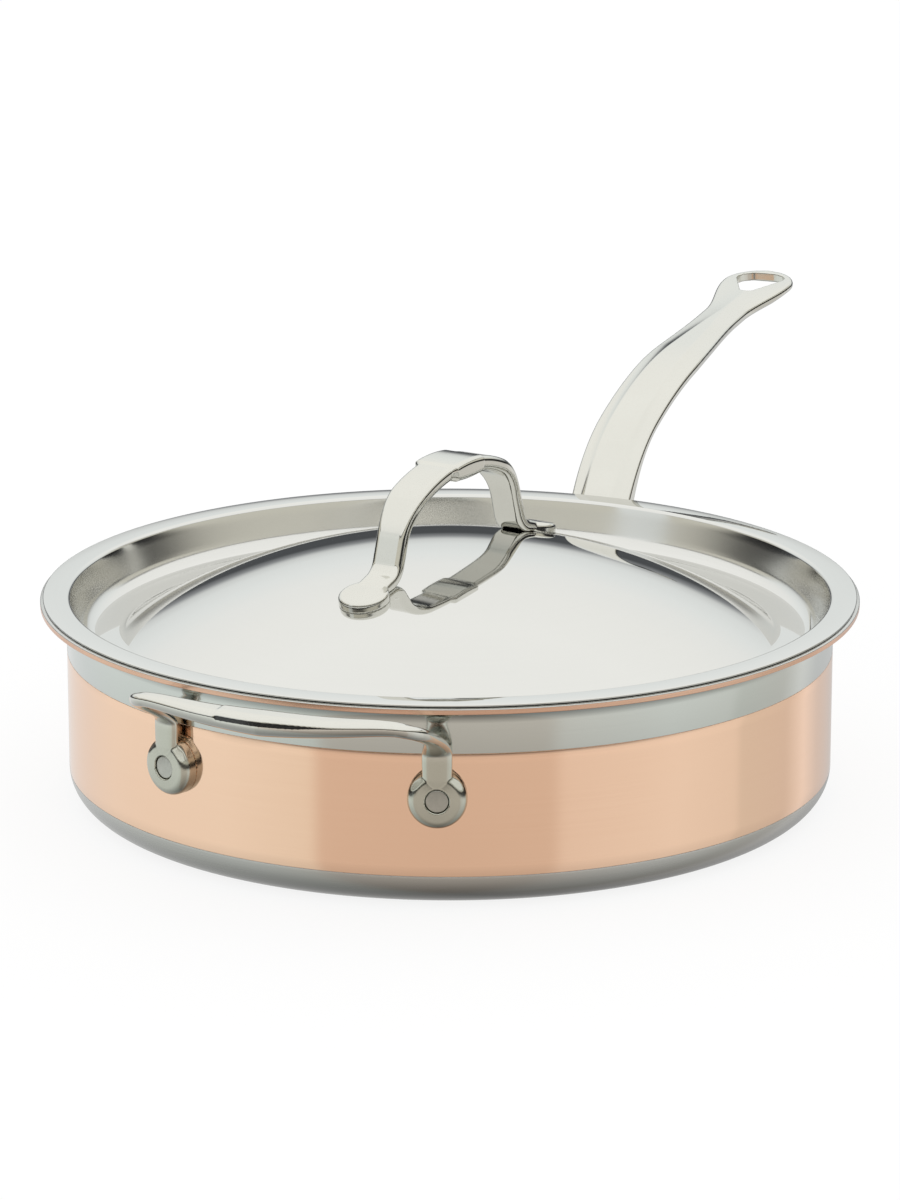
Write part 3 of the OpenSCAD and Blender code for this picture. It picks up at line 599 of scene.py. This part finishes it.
lid = {
    "gap": 0.2, "thickness": 0.8, "setback": 1.0, "rimWidth": 8.8,
    "recessDepth": 16.2, "recessSlope": 73.3, "mouthRadius": 1.6, "heelRadius": 7.0,
    "grooveWidth": 7.6, "domeRise": 33.0, "rootRadius": 6.0,
    "turn": -9.0,   # degrees, of the lid in its seat
    "arcSteps": 20, "domeSteps": 60, "turns": 720,
}
lidRadius = lipRadius - lid["setback"]
lidTop = pan["height"] + lid["gap"] + lid["thickness"]
lidFloor = lidTop - lid["recessDepth"]
domeTop = lidFloor + lid["domeRise"]
mouthX = lidRadius - lid["rimWidth"]
slopeSin, slopeCos = slant(lid["recessSlope"])
bends = lid["mouthRadius"] + lid["heelRadius"]
wallRun = (lid["recessDepth"] - bends * (1 - slopeCos)) / slopeSin
heelX = mouthX - bends * slopeSin - wallRun * slopeCos
domeRadius = heelX - lid["grooveWidth"]
ballRadius = (domeRadius ** 2 + lid["domeRise"] ** 2) / (2 * lid["domeRise"]) - lid["rootRadius"]
ballZ = domeTop - ballRadius


def lidSide(depth):   # from the middle of the dome out to the rim, at a depth below the upper face
    root, heel, mouth = lid["rootRadius"] + depth, lid["heelRadius"] + depth, lid["mouthRadius"] - depth
    rootZ = lidFloor + lid["rootRadius"]
    domeEnd = math.degrees(math.atan2(domeRadius, rootZ - ballZ))
    slope = lid["recessSlope"]
    dome = arc((0.0, ballZ), ballRadius - depth, 90, 90 - domeEnd, lid["domeSteps"])
    foot = arc((domeRadius, rootZ), root, 270 - domeEnd, 270, lid["arcSteps"])
    rise = arc((heelX, lidFloor + lid["heelRadius"]), heel, -90, slope - 90, lid["arcSteps"])
    edge = arc((mouthX, lidTop - lid["mouthRadius"]), mouth, 90 + slope, 90, lid["arcSteps"])
    return dome + foot + rise + line(rise[-1], edge[0], 6) + edge


def makeLid():
    half = lid["thickness"] / 2
    rim = arc((lidRadius - half, lidTop - half), half, 90, -90, 10)
    piece = lathe("lidShell", lidSide(0.0) + rim + lidSide(lid["thickness"])[::-1], lid["turns"])
    finishPiece(piece, "lid_shell", "lid", "mirrorLid", sharp=60)


def mirrored(right):   # a closed section from its right half
    return right + [(-x, y) for x, y in reversed(right[1:-1])]


def strapSection(width, thick, facet, power):   # squared-up ellipse, flat on top
    top = min(facet / (thick / 2), 0.98)
    turns = np.linspace(math.asin(top ** (1 / power)), -math.pi / 2, 26)
    right = []
    for t in turns:
        sine = math.copysign(abs(math.sin(t)) ** power, math.sin(t))
        right.append((width / 2 * abs(math.cos(t)) ** power, thick / 2 * sine))
    right[-1] = (0.0, -thick / 2)
    flat = [(right[0][0] * k / 8, right[0][1]) for k in range(8)]
    return mirrored(flat + right)


def slabSection(width, thick, radius):   # flat above and below, with rounded edges
    w, t, r = width / 2, thick / 2, min(radius, thick * 0.48)
    upper, lower = arc((w - r, t - r), r, 90, 0, 12), arc((w - r, r - t), r, 0, -90, 12)
    flat = [((w - r) * k / 8, t) for k in range(8)]
    under = [((w - r) * k / 6, -t) for k in range(5, -1, -1)]
    return mirrored(flat + upper + line(upper[-1], lower[0], 3) + lower + under)


def eggSection(width, high, low):   # a strap's section with its own depths above and below
    section = strapSection(width, 2.0, helper["barFacet"], helper["barPower"])
    return [(x, y * (high if y > 0 else low)) for x, y in section]


def shaved(section, angle, depth):   # a flat on the section, on the side that faces that angle
    way = slant(angle)[::-1]
    points = np.array(section)
    reach = points @ way
    over = np.maximum(reach - reach.max() + depth, 0)
    return [tuple(p) for p in points - over[:, None] * way]


def outFrom(angle):
    return np.array([math.cos(angle), math.sin(angle), 0.0])


def roundFrom(angle):
    return np.array([-math.sin(angle), math.cos(angle), 0.0])


def unit(vector):
    return vector / np.linalg.norm(vector)


ahead, up = np.array([0.0, 1.0, 0.0]), np.array([0.0, 0.0, 1.0])

pad = {
    "width": 21.3, "crown": 0.35, "edgeRadius": 3.4,
    "bevelAt": 9.0, "bevelSink": 1.2, "bevelSlope": 46.0,
    "bevelStop": 2.8, "bevelTurn": 48.0, "bevelReach": 3.2,
    "tailWidth": 8.2, "tailSeat": 1.9, "fit": 0.25,
}


def onWall(piece, angle, height):   # from upright on the origin to a place on the wall, facing out
    moved(piece, pan["wallRadius"], 0, height)
    return turned(piece, math.degrees(angle), "Z")


def makePad(angle, height, thick):   # disc against the wall with a softly domed face
    r, e, crown = pad["width"] / 2, min(pad["edgeRadius"], thick * 0.82), pad["crown"]
    face = [((r - e) * k / 8, thick - crown * (k / 8) ** 2) for k in range(8)]
    edge = arc((r - e, thick - crown - e), e, 90, 0, 12)
    disc = lathe("pad", face + edge + [(r, -thick), (0.0, -thick)], 96)
    return onWall(outward(turned(disc, 90, "Y")), angle, height)


def makeBevels(angle, height, thick):   # tools for the bevel on each upper shoulder of a pad
    tools = []
    wide = pad["width"]
    for side in (-1, 1):
        near, far = side * pad["bevelReach"], side * (pad["bevelReach"] - wide)
        box = [(0, near), (wide, near), (wide, far), (0, far)]
        tool = loft("bevel", [((0, 0, z), (1, 0, 0), ahead, box) for z in (-thick, wide)])
        turned(tool, -pad["bevelSlope"], "Y")
        moved(tool, thick - pad["bevelSink"], 0, pad["bevelAt"])
        turned(tool, side * pad["bevelTurn"], "X")
        bm = bmesh.new()
        bm.from_mesh(tool.data)
        whole = bm.verts[:] + bm.edges[:] + bm.faces[:]
        low = (0, 0, pad["bevelStop"])
        bmesh.ops.bisect_plane(bm, geom=whole, plane_co=low, plane_no=(0, 0, 1), clear_inner=True)
        bmesh.ops.holes_fill(bm, edges=[e for e in bm.edges if e.is_boundary])
        bm.to_mesh(tool.data)
        bm.free()
        tools.append(onWall(outward(tool), angle, height))
    return tools


def makeTailSeat(angle, height, thick):
    r = pad["tailWidth"] / 2 + pad["fit"]
    seat = lathe("seat", [(0.0, 0.0), (r, 0.0), (r, 3 * thick), (0.0, 3 * thick)], 96)
    moved(turned(seat, 90, "Y"), thick - pad["tailSeat"], 0, 0)
    return outward(onWall(seat, angle, height))


def makeWallCutter():
    r = pan["wallRadius"]
    profile = [(0.0, -5.0), (r, -5.0), (r, pan["height"]), (0.0, pan["height"])]
    return outward(lathe("wall", profile, 720))


helper = {
    "span": 101.6, "rivetDrop": 35.2, "padThick": 6.2, "reach": 27.6,
    "barDrop": 2.3, "barSag": 0.5, "barLean": 4.0, "endLean": 10.0,
    "barWidth": 12.0, "barHigh": 2.4, "barLow": 5.9, "endWidth": 5.6, "endHigh": 1.8, "endLow": 3.3,
    "legWidth": 10.8, "legThick": 4.2, "legGap": 2.0, "legFacet": 2.06, "legPower": 0.9,
    "barFacet": 0.94, "barPower": 0.95, "narrowTo": 0.65, "twistFrom": 0.15,
    "bendHeight": 16.2, "bendRun": 13.6, "bendRise": 0.27, "bendSweep": 0.93, "droop": 0.1,
    "bossFrom": -15.0, "bossTo": 4.0, "bossFade": 30.0,
    "bossStep": 1.6, "bossRise": 0.4, "bossFlat": 0.3, "bossFacing": 9.0, "barFlat": 0.04,
    "legFull": (1.5, 8.0), "legStart": 0.4, "legSink": 0.3, "swell": 1.08,
    "neckUp": 9.6, "neckSide": 5.616, "neckReach": 2.2,   # smoothing at the pads
    "neckFade": 1.7, "neckRounds": 18,
    "steps": 44, "grain": 0.30, "rounds": 10,
}
helperAngle = math.asin(helper["span"] / 2 / pan["wallRadius"])
helperRivetZ = pan["height"] - helper["rivetDrop"]


def curvePoint(corners, t):
    shares = ((1 - t) ** 3, 3 * t * (1 - t) ** 2, 3 * t * t * (1 - t), t ** 3)
    return sum(share * corner for share, corner in zip(shares, corners))


def curveWay(corners, t):
    shares = ((1 - t) ** 2, 2 * t * (1 - t), t * t)
    return sum(share * (b - a) for share, a, b in zip(shares, corners, corners[1:]))


def barSection(run, swell):   # run: millimetres from the middle of the bar
    boss = ease(run, helper["bossFrom"] - helper["bossStep"], helper["bossFrom"])
    boss *= 1 - ease(run, helper["bossTo"], helper["bossTo"] + helper["bossFade"])
    width = mix(helper["endWidth"], helper["barWidth"], swell)
    high = mix(helper["endHigh"], helper["barHigh"], swell) + helper["bossRise"] * boss
    section = eggSection(width, high, mix(helper["endLow"], helper["barLow"], swell))
    lean = mix(helper["endLean"], helper["barLean"], swell)
    depth = helper["barFlat"] * swell + helper["bossFlat"] * boss
    return shaved(section, helper["bossFacing"] + lean, depth)


def helperHalf(side):   # from the pad at one rivet to the middle of the bar
    legRadius = pan["wallRadius"] + helper["legGap"] + helper["legThick"] / 2
    barRadius = pan["wallRadius"] + helper["reach"]
    barZ = pan["height"] - helper["barDrop"]
    barAngle = helperAngle - math.asin(helper["bendRun"] / barRadius)
    legTopZ = barZ - helper["bendHeight"]
    sine, cosine = slant(helper["endLean"])
    droop = helper["droop"]
    legOut, barOut, barRound = outFrom(helperAngle), outFrom(barAngle), roundFrom(barAngle)
    legTop = legOut * legRadius + up * legTopZ
    barEnd = barOut * barRadius + up * (barZ + helper["barSag"])
    corners = [legTop, legTop + up * helper["bendHeight"] * helper["bendRise"],
               barEnd + helper["bendRun"] * helper["bendSweep"] * (barRound - droop * up), barEnd]
    leaningUp = sine * barOut + cosine * up
    legSection = strapSection(helper["legWidth"], helper["legThick"], helper["legFacet"],
                              helper["legPower"])
    stations = []
    for k in range(9):   # the leg, narrow where it starts behind the pad's face
        z = mix(helperRivetZ, legTopZ, k / 9)
        above = ease(z - helperRivetZ, *helper["legFull"])
        section = [(x * mix(helper["legStart"], 1, above), y) for x, y in legSection]
        place = legOut * (legRadius - helper["legSink"] * (1 - above)) + up * z
        stations.append((place, roundFrom(helperAngle), -legOut, section))
    barLength = barRadius * barAngle
    endSection = barSection(side * barLength, 0.0)
    for k in range(helper["steps"] + 1):
        t = k / helper["steps"]
        way = unit(curveWay(corners, t))
        top = mix(-legOut, leaningUp, t)
        top = unit(top - np.dot(top, way) * way)
        narrow, twist = ease(t, 0, helper["narrowTo"]), ease(t, helper["twistFrom"], 1)
        slim = mix(1, helper["endWidth"] / helper["legWidth"], narrow)
        widen = mix(1, helper["legWidth"] / helper["endWidth"], 1 - narrow)
        section = [(mix(p[0] * slim, q[0] * widen, twist), mix(p[1], q[1], twist))
                   for p, q in zip(legSection, endSection)]
        stations.append((curvePoint(corners, t), np.cross(top, way), top, section))
    for k in range(1, helper["steps"] + 1):
        a = barAngle * (1 - k / helper["steps"])
        share = a / barAngle
        swell = 1 - share ** helper["swell"]
        section = barSection(side * barRadius * a, swell)
        sag = helper["barSag"] * ease(share, 0, 1)
        height = barZ + sag + droop * barLength * share ** 5 * (1 - share)
        sine, cosine = slant(mix(helper["endLean"], helper["barLean"], swell))
        out = outFrom(a)
        place = out * barRadius + up * height
        stations.append((place, cosine * out - sine * up, sine * out + cosine * up, section))
    flip = np.array([1.0, side, 1.0])
    return [(p * flip, a * flip, u * flip, s) for p, a, u, s in stations]


def makeHelperHandle():
    parts = [loft("helperBar", helperHalf(1) + helperHalf(-1)[-2::-1])]
    cutters = [makeWallCutter()]
    thick = helper["padThick"]
    for side in (-1, 1):
        parts.append(makePad(side * helperAngle, helperRivetZ, thick))
        cutters.append(makeTailSeat(side * helperAngle, helperRivetZ, thick))
        cutters += makeBevels(side * helperAngle, helperRivetZ, thick)
    piece = castTogether("helperHandle", parts, cutters, helper["grain"], helper["rounds"])
    drop(*cutters)
    necks = []   # the inner corners between the legs and the pads
    for a in (-helperAngle, helperAngle):
        neck = outFrom(a) * (pan["wallRadius"] + thick / 2) + up * (helperRivetZ + helper["neckUp"])
        necks += [neck + roundFrom(a) * edge * helper["neckSide"] for edge in (-1, 1)]
    relaxNear(piece, helper["neckRounds"], necks, helper["neckReach"], helper["neckFade"])
    turned(piece, 180, "Z")
    finishPiece(piece, "helper_handle", "pan", "barCast")


grip = {
    "tipX": 366.0, "stemDrop": 19.8, "stemReach": 3.5, "rootLength": 20.0,
    "stemSlope": 72.0, "kneeSlope": 22.0, "gripSlope": 5.2, "stemRadius": 75.0, "gripRadius": 230.0,
    "rootWidth": 25.0, "neckWidth": 18.6, "endWidth": 31.0,
    "narrowFrom": 131.0, "neckFrom": 68.0, "neckLength": 10.0, "endRound": 16.0, "tipAngle": 82.0,
    "rootThick": 10.0, "rootStart": 7.0, "gripThick": 6.6, "endThick": 4.0,
    "edgeThick": 4.2, "edgeRadius": 1.65,
    "facetWidth": 12.0, "facetFrom": 200.0, "facetLength": 110.0, "hollow": 0.3, "creaseEnd": 0.3,
    "facetDrop": 2.0, "neckDrop": 1.2, "endDrop": 0.4,
    "bellyWidth": 0.94, "bellyFlat": 0.15,
    "holeTip": 3.4, "holeCorner": 6.6, "holeLength": 27.0, "holeWidth": 21.0, "holeWall": 4.6,
    "flangeSpan": 46.0, "flangeDrop": 35.2, "flangeHeight": 20.0, "flangeThick": 4.8,
    "rootReach": (9.0, 17.0, 14.0), "rootRounds": 24,   # smoothing out, across and up at the root
    "grain": 0.34, "rounds": 9,
}
flangeAngle = math.asin(grip["flangeSpan"] / 2 / pan["wallRadius"])
flangeRivetZ = pan["height"] - grip["flangeDrop"]


def slopeStep(radius, start, end):   # where a bend ends that turns from one slope down to another
    return radius * (slant(start) - slant(end)) * (1, -1)


stemAt = np.array([pan["wallRadius"] + grip["stemReach"], pan["height"] - grip["stemDrop"]])
stemWay = slant(grip["stemSlope"])[::-1]
kneeAt = stemAt + slopeStep(grip["stemRadius"], grip["stemSlope"], grip["kneeSlope"])
gripAt = kneeAt + slopeStep(grip["gripRadius"], grip["kneeSlope"], grip["gripSlope"])
endX = grip["tipX"] - grip["endRound"]


def gripSection(x):
    neckX = grip["tipX"] - grip["neckFrom"]
    toNeck = ease(x, grip["tipX"] - grip["narrowFrom"], neckX)
    toEnd = ease(x, neckX + grip["neckLength"], endX)
    toGrip = ease(x, stemAt[0], kneeAt[0])
    tipWay = max(x - endX, 0) / grip["endRound"]
    tipShare = math.sqrt(1 - (tipWay * math.sin(math.radians(grip["tipAngle"]))) ** 2)
    width = mix(mix(grip["rootWidth"], grip["neckWidth"], toNeck), grip["endWidth"], toEnd)
    half = width / 2 * tipShare
    closing = min(max(x - grip["facetFrom"], 0) / grip["facetLength"], 1)
    crease = max(grip["facetWidth"] / 2 * (1 - closing * closing), grip["creaseEnd"])
    fall = mix(mix(grip["facetDrop"], grip["neckDrop"], toNeck), grip["endDrop"], toEnd)
    rootX = stemAt[0] - grip["rootLength"] * stemWay[0]
    rootDepth = mix(grip["rootStart"], grip["rootThick"], ease(x, rootX, stemAt[0]))
    depth = mix(mix(rootDepth, grip["gripThick"], toGrip), grip["endThick"], toEnd)
    edge = mix(depth - fall, min(grip["edgeThick"], depth - fall), toGrip)
    radius = grip["edgeRadius"]
    short = max(radius - (grip["tipX"] - x), 0)
    inset = radius - math.sqrt(radius * radius - short * short)
    r = min(radius, (edge - 2 * inset) * 0.47)
    upper = arc((half - r, -fall - inset - r), r, 90, 0, 8)
    lower = arc((half - r, -fall - edge + inset + r), r, 0, -90, 8)
    flat = [(crease * k / 6, -inset) for k in range(7)]
    low = -fall - edge + inset
    shares = [1 - (k + 1) / 11 for k in range(11)]
    falls = [max(s - grip["bellyFlat"], 0) / (1 - grip["bellyFlat"]) for s in shares]
    wide = half * grip["bellyWidth"]
    belly = [(wide * s, mix(low, -depth + inset, 1 - f ** 2)) for s, f in zip(shares, falls)]
    sunk = grip["hollow"] * (1 - closing)
    side = enumerate(line(flat[-1], upper[0], 13), 1)
    side = [(p, q - sunk * math.sin(math.pi * k / 13)) for k, (p, q) in side]
    return mirrored(flat + side + upper + line(upper[-1], lower[0], 3) + lower + belly)


def gripStation(place, slope):
    sine, cosine = slant(slope)
    return (place[0], 0.0, place[1]), ahead, (-sine, 0.0, cosine), gripSection(place[0])


def gripStations():
    root = stemAt - grip["rootLength"] * stemWay
    stations = [gripStation(mix(root, stemAt, k / 12), grip["stemSlope"]) for k in range(13)]
    for start, bend, first, last, steps in ((stemAt, "stemRadius", "stemSlope", "kneeSlope", 48),
                                            (kneeAt, "gripRadius", "kneeSlope", "gripSlope", 40)):
        for k in range(1, steps + 1):
            slope = mix(grip[first], grip[last], k / steps)
            stations.append(gripStation(start + slopeStep(grip[bend], grip[first], slope), slope))
    slope, tip = grip["gripSlope"], math.radians(grip["tipAngle"])
    rise = math.tan(math.radians(slope))
    ends = [mix(gripAt[0], endX, k / 60) for k in range(1, 61)]
    ends += [endX + grip["endRound"] * math.sin(tip * k / 20) / math.sin(tip) for k in range(1, 21)]
    return stations + [gripStation((x, gripAt[1] + (x - gripAt[0]) * rise), slope) for x in ends]


def makeHoleCutter():   # rounded triangle whose narrow end points to the pan
    tipR, cornerR = grip["holeTip"], grip["holeCorner"]
    tip = (tipR, 0.0)
    corner = (grip["holeLength"] - cornerR, grip["holeWidth"] / 2 - cornerR)
    way = math.atan2(corner[1], corner[0] - tip[0])
    apart = math.dist(tip, corner)
    tangent = math.degrees(way + math.acos((tipR - cornerR) / apart))
    upper = arc(tip, tipR, 180, tangent, 10) + arc(corner, cornerR, tangent, 0, 20)
    outline = upper + [(x, -y) for x, y in reversed(upper[1:])]
    deep = 2 * grip["endThick"]
    tool = loft("hole", [((0, 0, z), (1, 0, 0), ahead, outline) for z in (-deep, deep)])
    x = grip["tipX"] - grip["holeWall"] - grip["holeLength"]
    z = gripAt[1] + (x - gripAt[0]) * math.tan(math.radians(grip["gripSlope"]))
    return outward(moved(turned(tool, -grip["gripSlope"], "Y"), x, 0, z))


def makeFlange():   # curved plate behind the stem, between its two rivets
    wall, t, e = pan["wallRadius"], grip["flangeThick"], grip["edgeRadius"]
    low, high = flangeRivetZ - grip["flangeHeight"] / 2, flangeRivetZ + grip["flangeHeight"] / 2
    outer = arc((wall + t - e, low + e), e, -90, 0, 8) + arc((wall + t - e, high - e), e, 0, 90, 8)
    section = [(wall - 1, low)] + outer + [(wall - 1, high)]
    turns = [mix(-flangeAngle, flangeAngle, k / 32) for k in range(33)]
    return loft("flange", [((0, 0, 0), outFrom(a), up, section) for a in turns])


def makeLongHandle():
    parts = [loft("grip", gripStations()), makeFlange()]
    cutters = [makeWallCutter(), makeHoleCutter()]
    for side in (-1, 1):
        parts.append(makePad(side * flangeAngle, flangeRivetZ, grip["flangeThick"]))
        cutters.append(makeTailSeat(side * flangeAngle, flangeRivetZ, grip["flangeThick"]))
    piece = castTogether("longHandle", parts, cutters, grip["grain"], grip["rounds"])
    drop(*cutters)
    root = (pan["wallRadius"] + grip["flangeThick"], 0.0, flangeRivetZ)
    relaxNear(piece, grip["rootRounds"], [root], grip["rootReach"])
    finishPiece(piece, "long_handle", "pan", "polishedCast")


strap = {
    "footSpan": 120.0, "footWidth": 19.0, "footThick": 3.7, "footEdge": 1.75,
    "archRise": 34.6, "legSlope": 72.0, "crownSlope": 22.0, "crownRadius": 71.5,
    "shoulderRadius": 24.0, "heelRadius": 8.5, "edgeRadius": 2.1,
    "crownWidth": 19.2, "crownLength": 20.0, "crownThick": 6.9, "crownSeat": 3.243,
    "belly": 1.0, "bellyEnd": 2.0, "stepHalf": 0.4, "footCrown": 0.3,
    "shoulderWidth": 15.6, "legWidth": 12.4, "legThick": 5.3, "footInside": 3.145,
    "stepTo": 0.75, "crownShare": 0.93,   # thinning reached at the crown's end, thickness over the arch
    "heelIn": 7.98, "heelUp": 1.2, "heelReach": 4.5, "heelRounds": 16,   # smoothing at the feet
    "steps": 30, "grain": 0.27, "rounds": 6,
}


def strapStation(place, slope, width, thick):
    sine, cosine = slant(slope)
    section = slabSection(width, thick, strap["edgeRadius"])
    return np.array([place[0], 0.0, place[1]]), ahead, np.array([sine, 0.0, cosine]), section


def fallStep(radius, start, end):   # the same for a bend that falls toward the foot
    return radius * (slant(end) - slant(start))


def strapPath():
    footSlope = math.degrees(math.asin(strap["footSpan"] / 2 / ballRadius))
    a, down = math.radians(footSlope), math.radians(strap["legSlope"])
    foot = np.array([strap["footSpan"] / 2, ballZ + ballRadius * math.cos(a)])
    foot = foot + strap["footThick"] / 2 * slant(footSlope)
    crown = np.array([0.0, domeTop + strap["archRise"] - strap["crownSeat"]])
    shoulder = crown + fallStep(strap["crownRadius"], 0, strap["crownSlope"])
    leg = shoulder + fallStep(strap["shoulderRadius"], strap["crownSlope"], strap["legSlope"])
    way = foot - leg - fallStep(strap["heelRadius"], footSlope, strap["legSlope"])
    run = way @ slant(footSlope) / -math.sin(down - a)
    heelAt = leg + run * np.array([math.cos(down), -math.sin(down)])
    return footSlope, foot, crown, shoulder, leg, heelAt


def strapStations():
    footSlope, foot, crown, shoulder, leg, heelAt = strapPath()
    n, stepAt = strap["steps"], strap["crownLength"] / 2
    stations = []
    for k in range(n + 1):
        slope = strap["crownSlope"] * k / n
        place = crown + fallStep(strap["crownRadius"], 0, slope)
        narrow = ease(place[0], stepAt - strap["stepHalf"], stepAt + strap["stepHalf"])
        width = mix(strap["crownWidth"], strap["shoulderWidth"], narrow)
        belly = strap["belly"] * (1 - ease(place[0], 1, stepAt + strap["bellyEnd"]))
        thick = mix(strap["crownThick"], strap["legThick"], narrow * strap["stepTo"])
        thick = thick * strap["crownShare"] + belly
        stations.append(strapStation(place - belly / 2 * slant(slope), slope, width, thick))
    for k in range(1, n + 1):
        slope = mix(strap["crownSlope"], strap["legSlope"], k / n)
        narrow = ease(k, 0, n)
        place = shoulder + fallStep(strap["shoulderRadius"], strap["crownSlope"], slope)
        width = mix(strap["shoulderWidth"], strap["legWidth"], narrow)
        thick = mix(strap["crownThick"], strap["legThick"], mix(strap["stepTo"], 1, narrow))
        thick = thick * mix(strap["crownShare"], 1, narrow)
        stations.append(strapStation(place, slope, width, thick))
    slope, width, thick = strap["legSlope"], strap["legWidth"], strap["legThick"]
    stations += [strapStation(mix(leg, heelAt, k / n), slope, width, thick) for k in range(1, n)]
    for k in range(n + 1):
        bend = mix(slope, footSlope, k / n)
        place = heelAt + fallStep(strap["heelRadius"], bend, slope)
        stations.append(strapStation(place, bend, width, thick))
    stations.append(strapStation(foot, footSlope, width, strap["footInside"]))
    flip = np.array([-1.0, 1.0, 1.0])
    other = [(p * flip, a * flip, u * flip, s) for p, a, u, s in stations[:0:-1]]
    return other + stations


def makeLidHandle():
    footSlope, foot = strapPath()[:2]
    parts = [loft("strap", strapStations())]
    r, t, e = strap["footWidth"] / 2, strap["footThick"], strap["footEdge"]
    for side in (0, 180):
        edge = arc((r - e, t / 2 - e), e, 0, 90, 10)
        top = (0.0, t / 2 + strap["footCrown"])
        disc = lathe("foot", [(0.0, -1.5 * t), (r, -1.5 * t)] + edge + [top], 96)
        moved(turned(disc, footSlope, "Y"), foot[0], 0, foot[1])
        parts.append(turned(disc, side, "Z"))
    dome = arc((0.0, ballZ), ballRadius, 90, 60, 120)
    cutter = outward(lathe("dome", dome + [(dome[-1][0], 0.0), (0.0, 0.0)], 360))
    piece = castTogether("lidHandle", parts, [cutter], strap["grain"], strap["rounds"])
    drop(cutter)
    x, z = foot[0] - strap["heelIn"], foot[1] + strap["heelUp"]
    relaxNear(piece, strap["heelRounds"], [(-x, 0.0, z), (x, 0.0, z)], strap["heelReach"])
    turned(piece, lid["turn"], "Z")
    finishPiece(piece, "lid_handle", "lid", "polishedCast")


rivet = {
    "shank": 6.4, "headWidth": 13.0, "headHeight": 1.8,
    "tailWidth": 8.2, "tailThick": 1.4, "tailSink": 0.55, "tailEdge": 0.35, "tailCrown": 0.14,
}


def makeRivet(angle, height, thick):   # domed head inside the pan, shank, and flat tail sunk in the pad
    innerR = pan["wallRadius"] - sheet
    end = pan["wallRadius"] + thick - rivet["tailSink"]
    headR, headT = rivet["headWidth"] / 2, rivet["headHeight"]
    ball = (headR ** 2 + headT ** 2) / (2 * headT)
    spread = math.degrees(math.asin(headR / ball))
    tailR, e, crown = rivet["tailWidth"] / 2, rivet["tailEdge"], rivet["tailCrown"]
    crownBall = ((tailR - e) ** 2 + crown ** 2) / (2 * crown)
    crownSpread = math.degrees(math.asin((tailR - e) / crownBall))
    head = arc((0.0, innerR - headT + ball), ball, -90, spread - 90, 12)
    edge = arc((tailR - e, end - crown - e), e, 0, 90, 6)
    face = arc((0.0, end - crownBall), crownBall, 90 - crownSpread, 90, 10)
    sides = [(rivet["shank"] / 2, innerR), (rivet["shank"] / 2, end - rivet["tailThick"]),
             (tailR, end - rivet["tailThick"])]
    piece = lathe("rivet", head + sides + edge + face, 96)
    moved(turned(piece, 90, "Y"), 0, 0, height)
    return turned(piece, math.degrees(angle), "Z")


def makeRivets(name, node, angles, height, thick):
    piece = joined(name, [makeRivet(angle, height, thick) for angle in angles])
    finishPiece(piece, node, "pan", "satinRivet", sharp=50)


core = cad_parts["aluminium_core"].data.materials
core.clear()
core.append(metal["coreAluminium"])
makeBase()
makeJacket()
makeBand()
makeLipEdge()
makeLiner()
makeLid()
print("pan and lid turned")
makeLongHandle()
makeHelperHandle()
makeLidHandle()
turns, thick = (-flangeAngle, flangeAngle), grip["flangeThick"]
makeRivets("longHandleRivets", "long_handle_rivets", turns, flangeRivetZ, thick)
turns, thick = (math.pi - helperAngle, math.pi + helperAngle), helper["padThick"]
makeRivets("helperHandleRivets", "helper_handle_rivets", turns, helperRivetZ, thick)
print("handles cast")
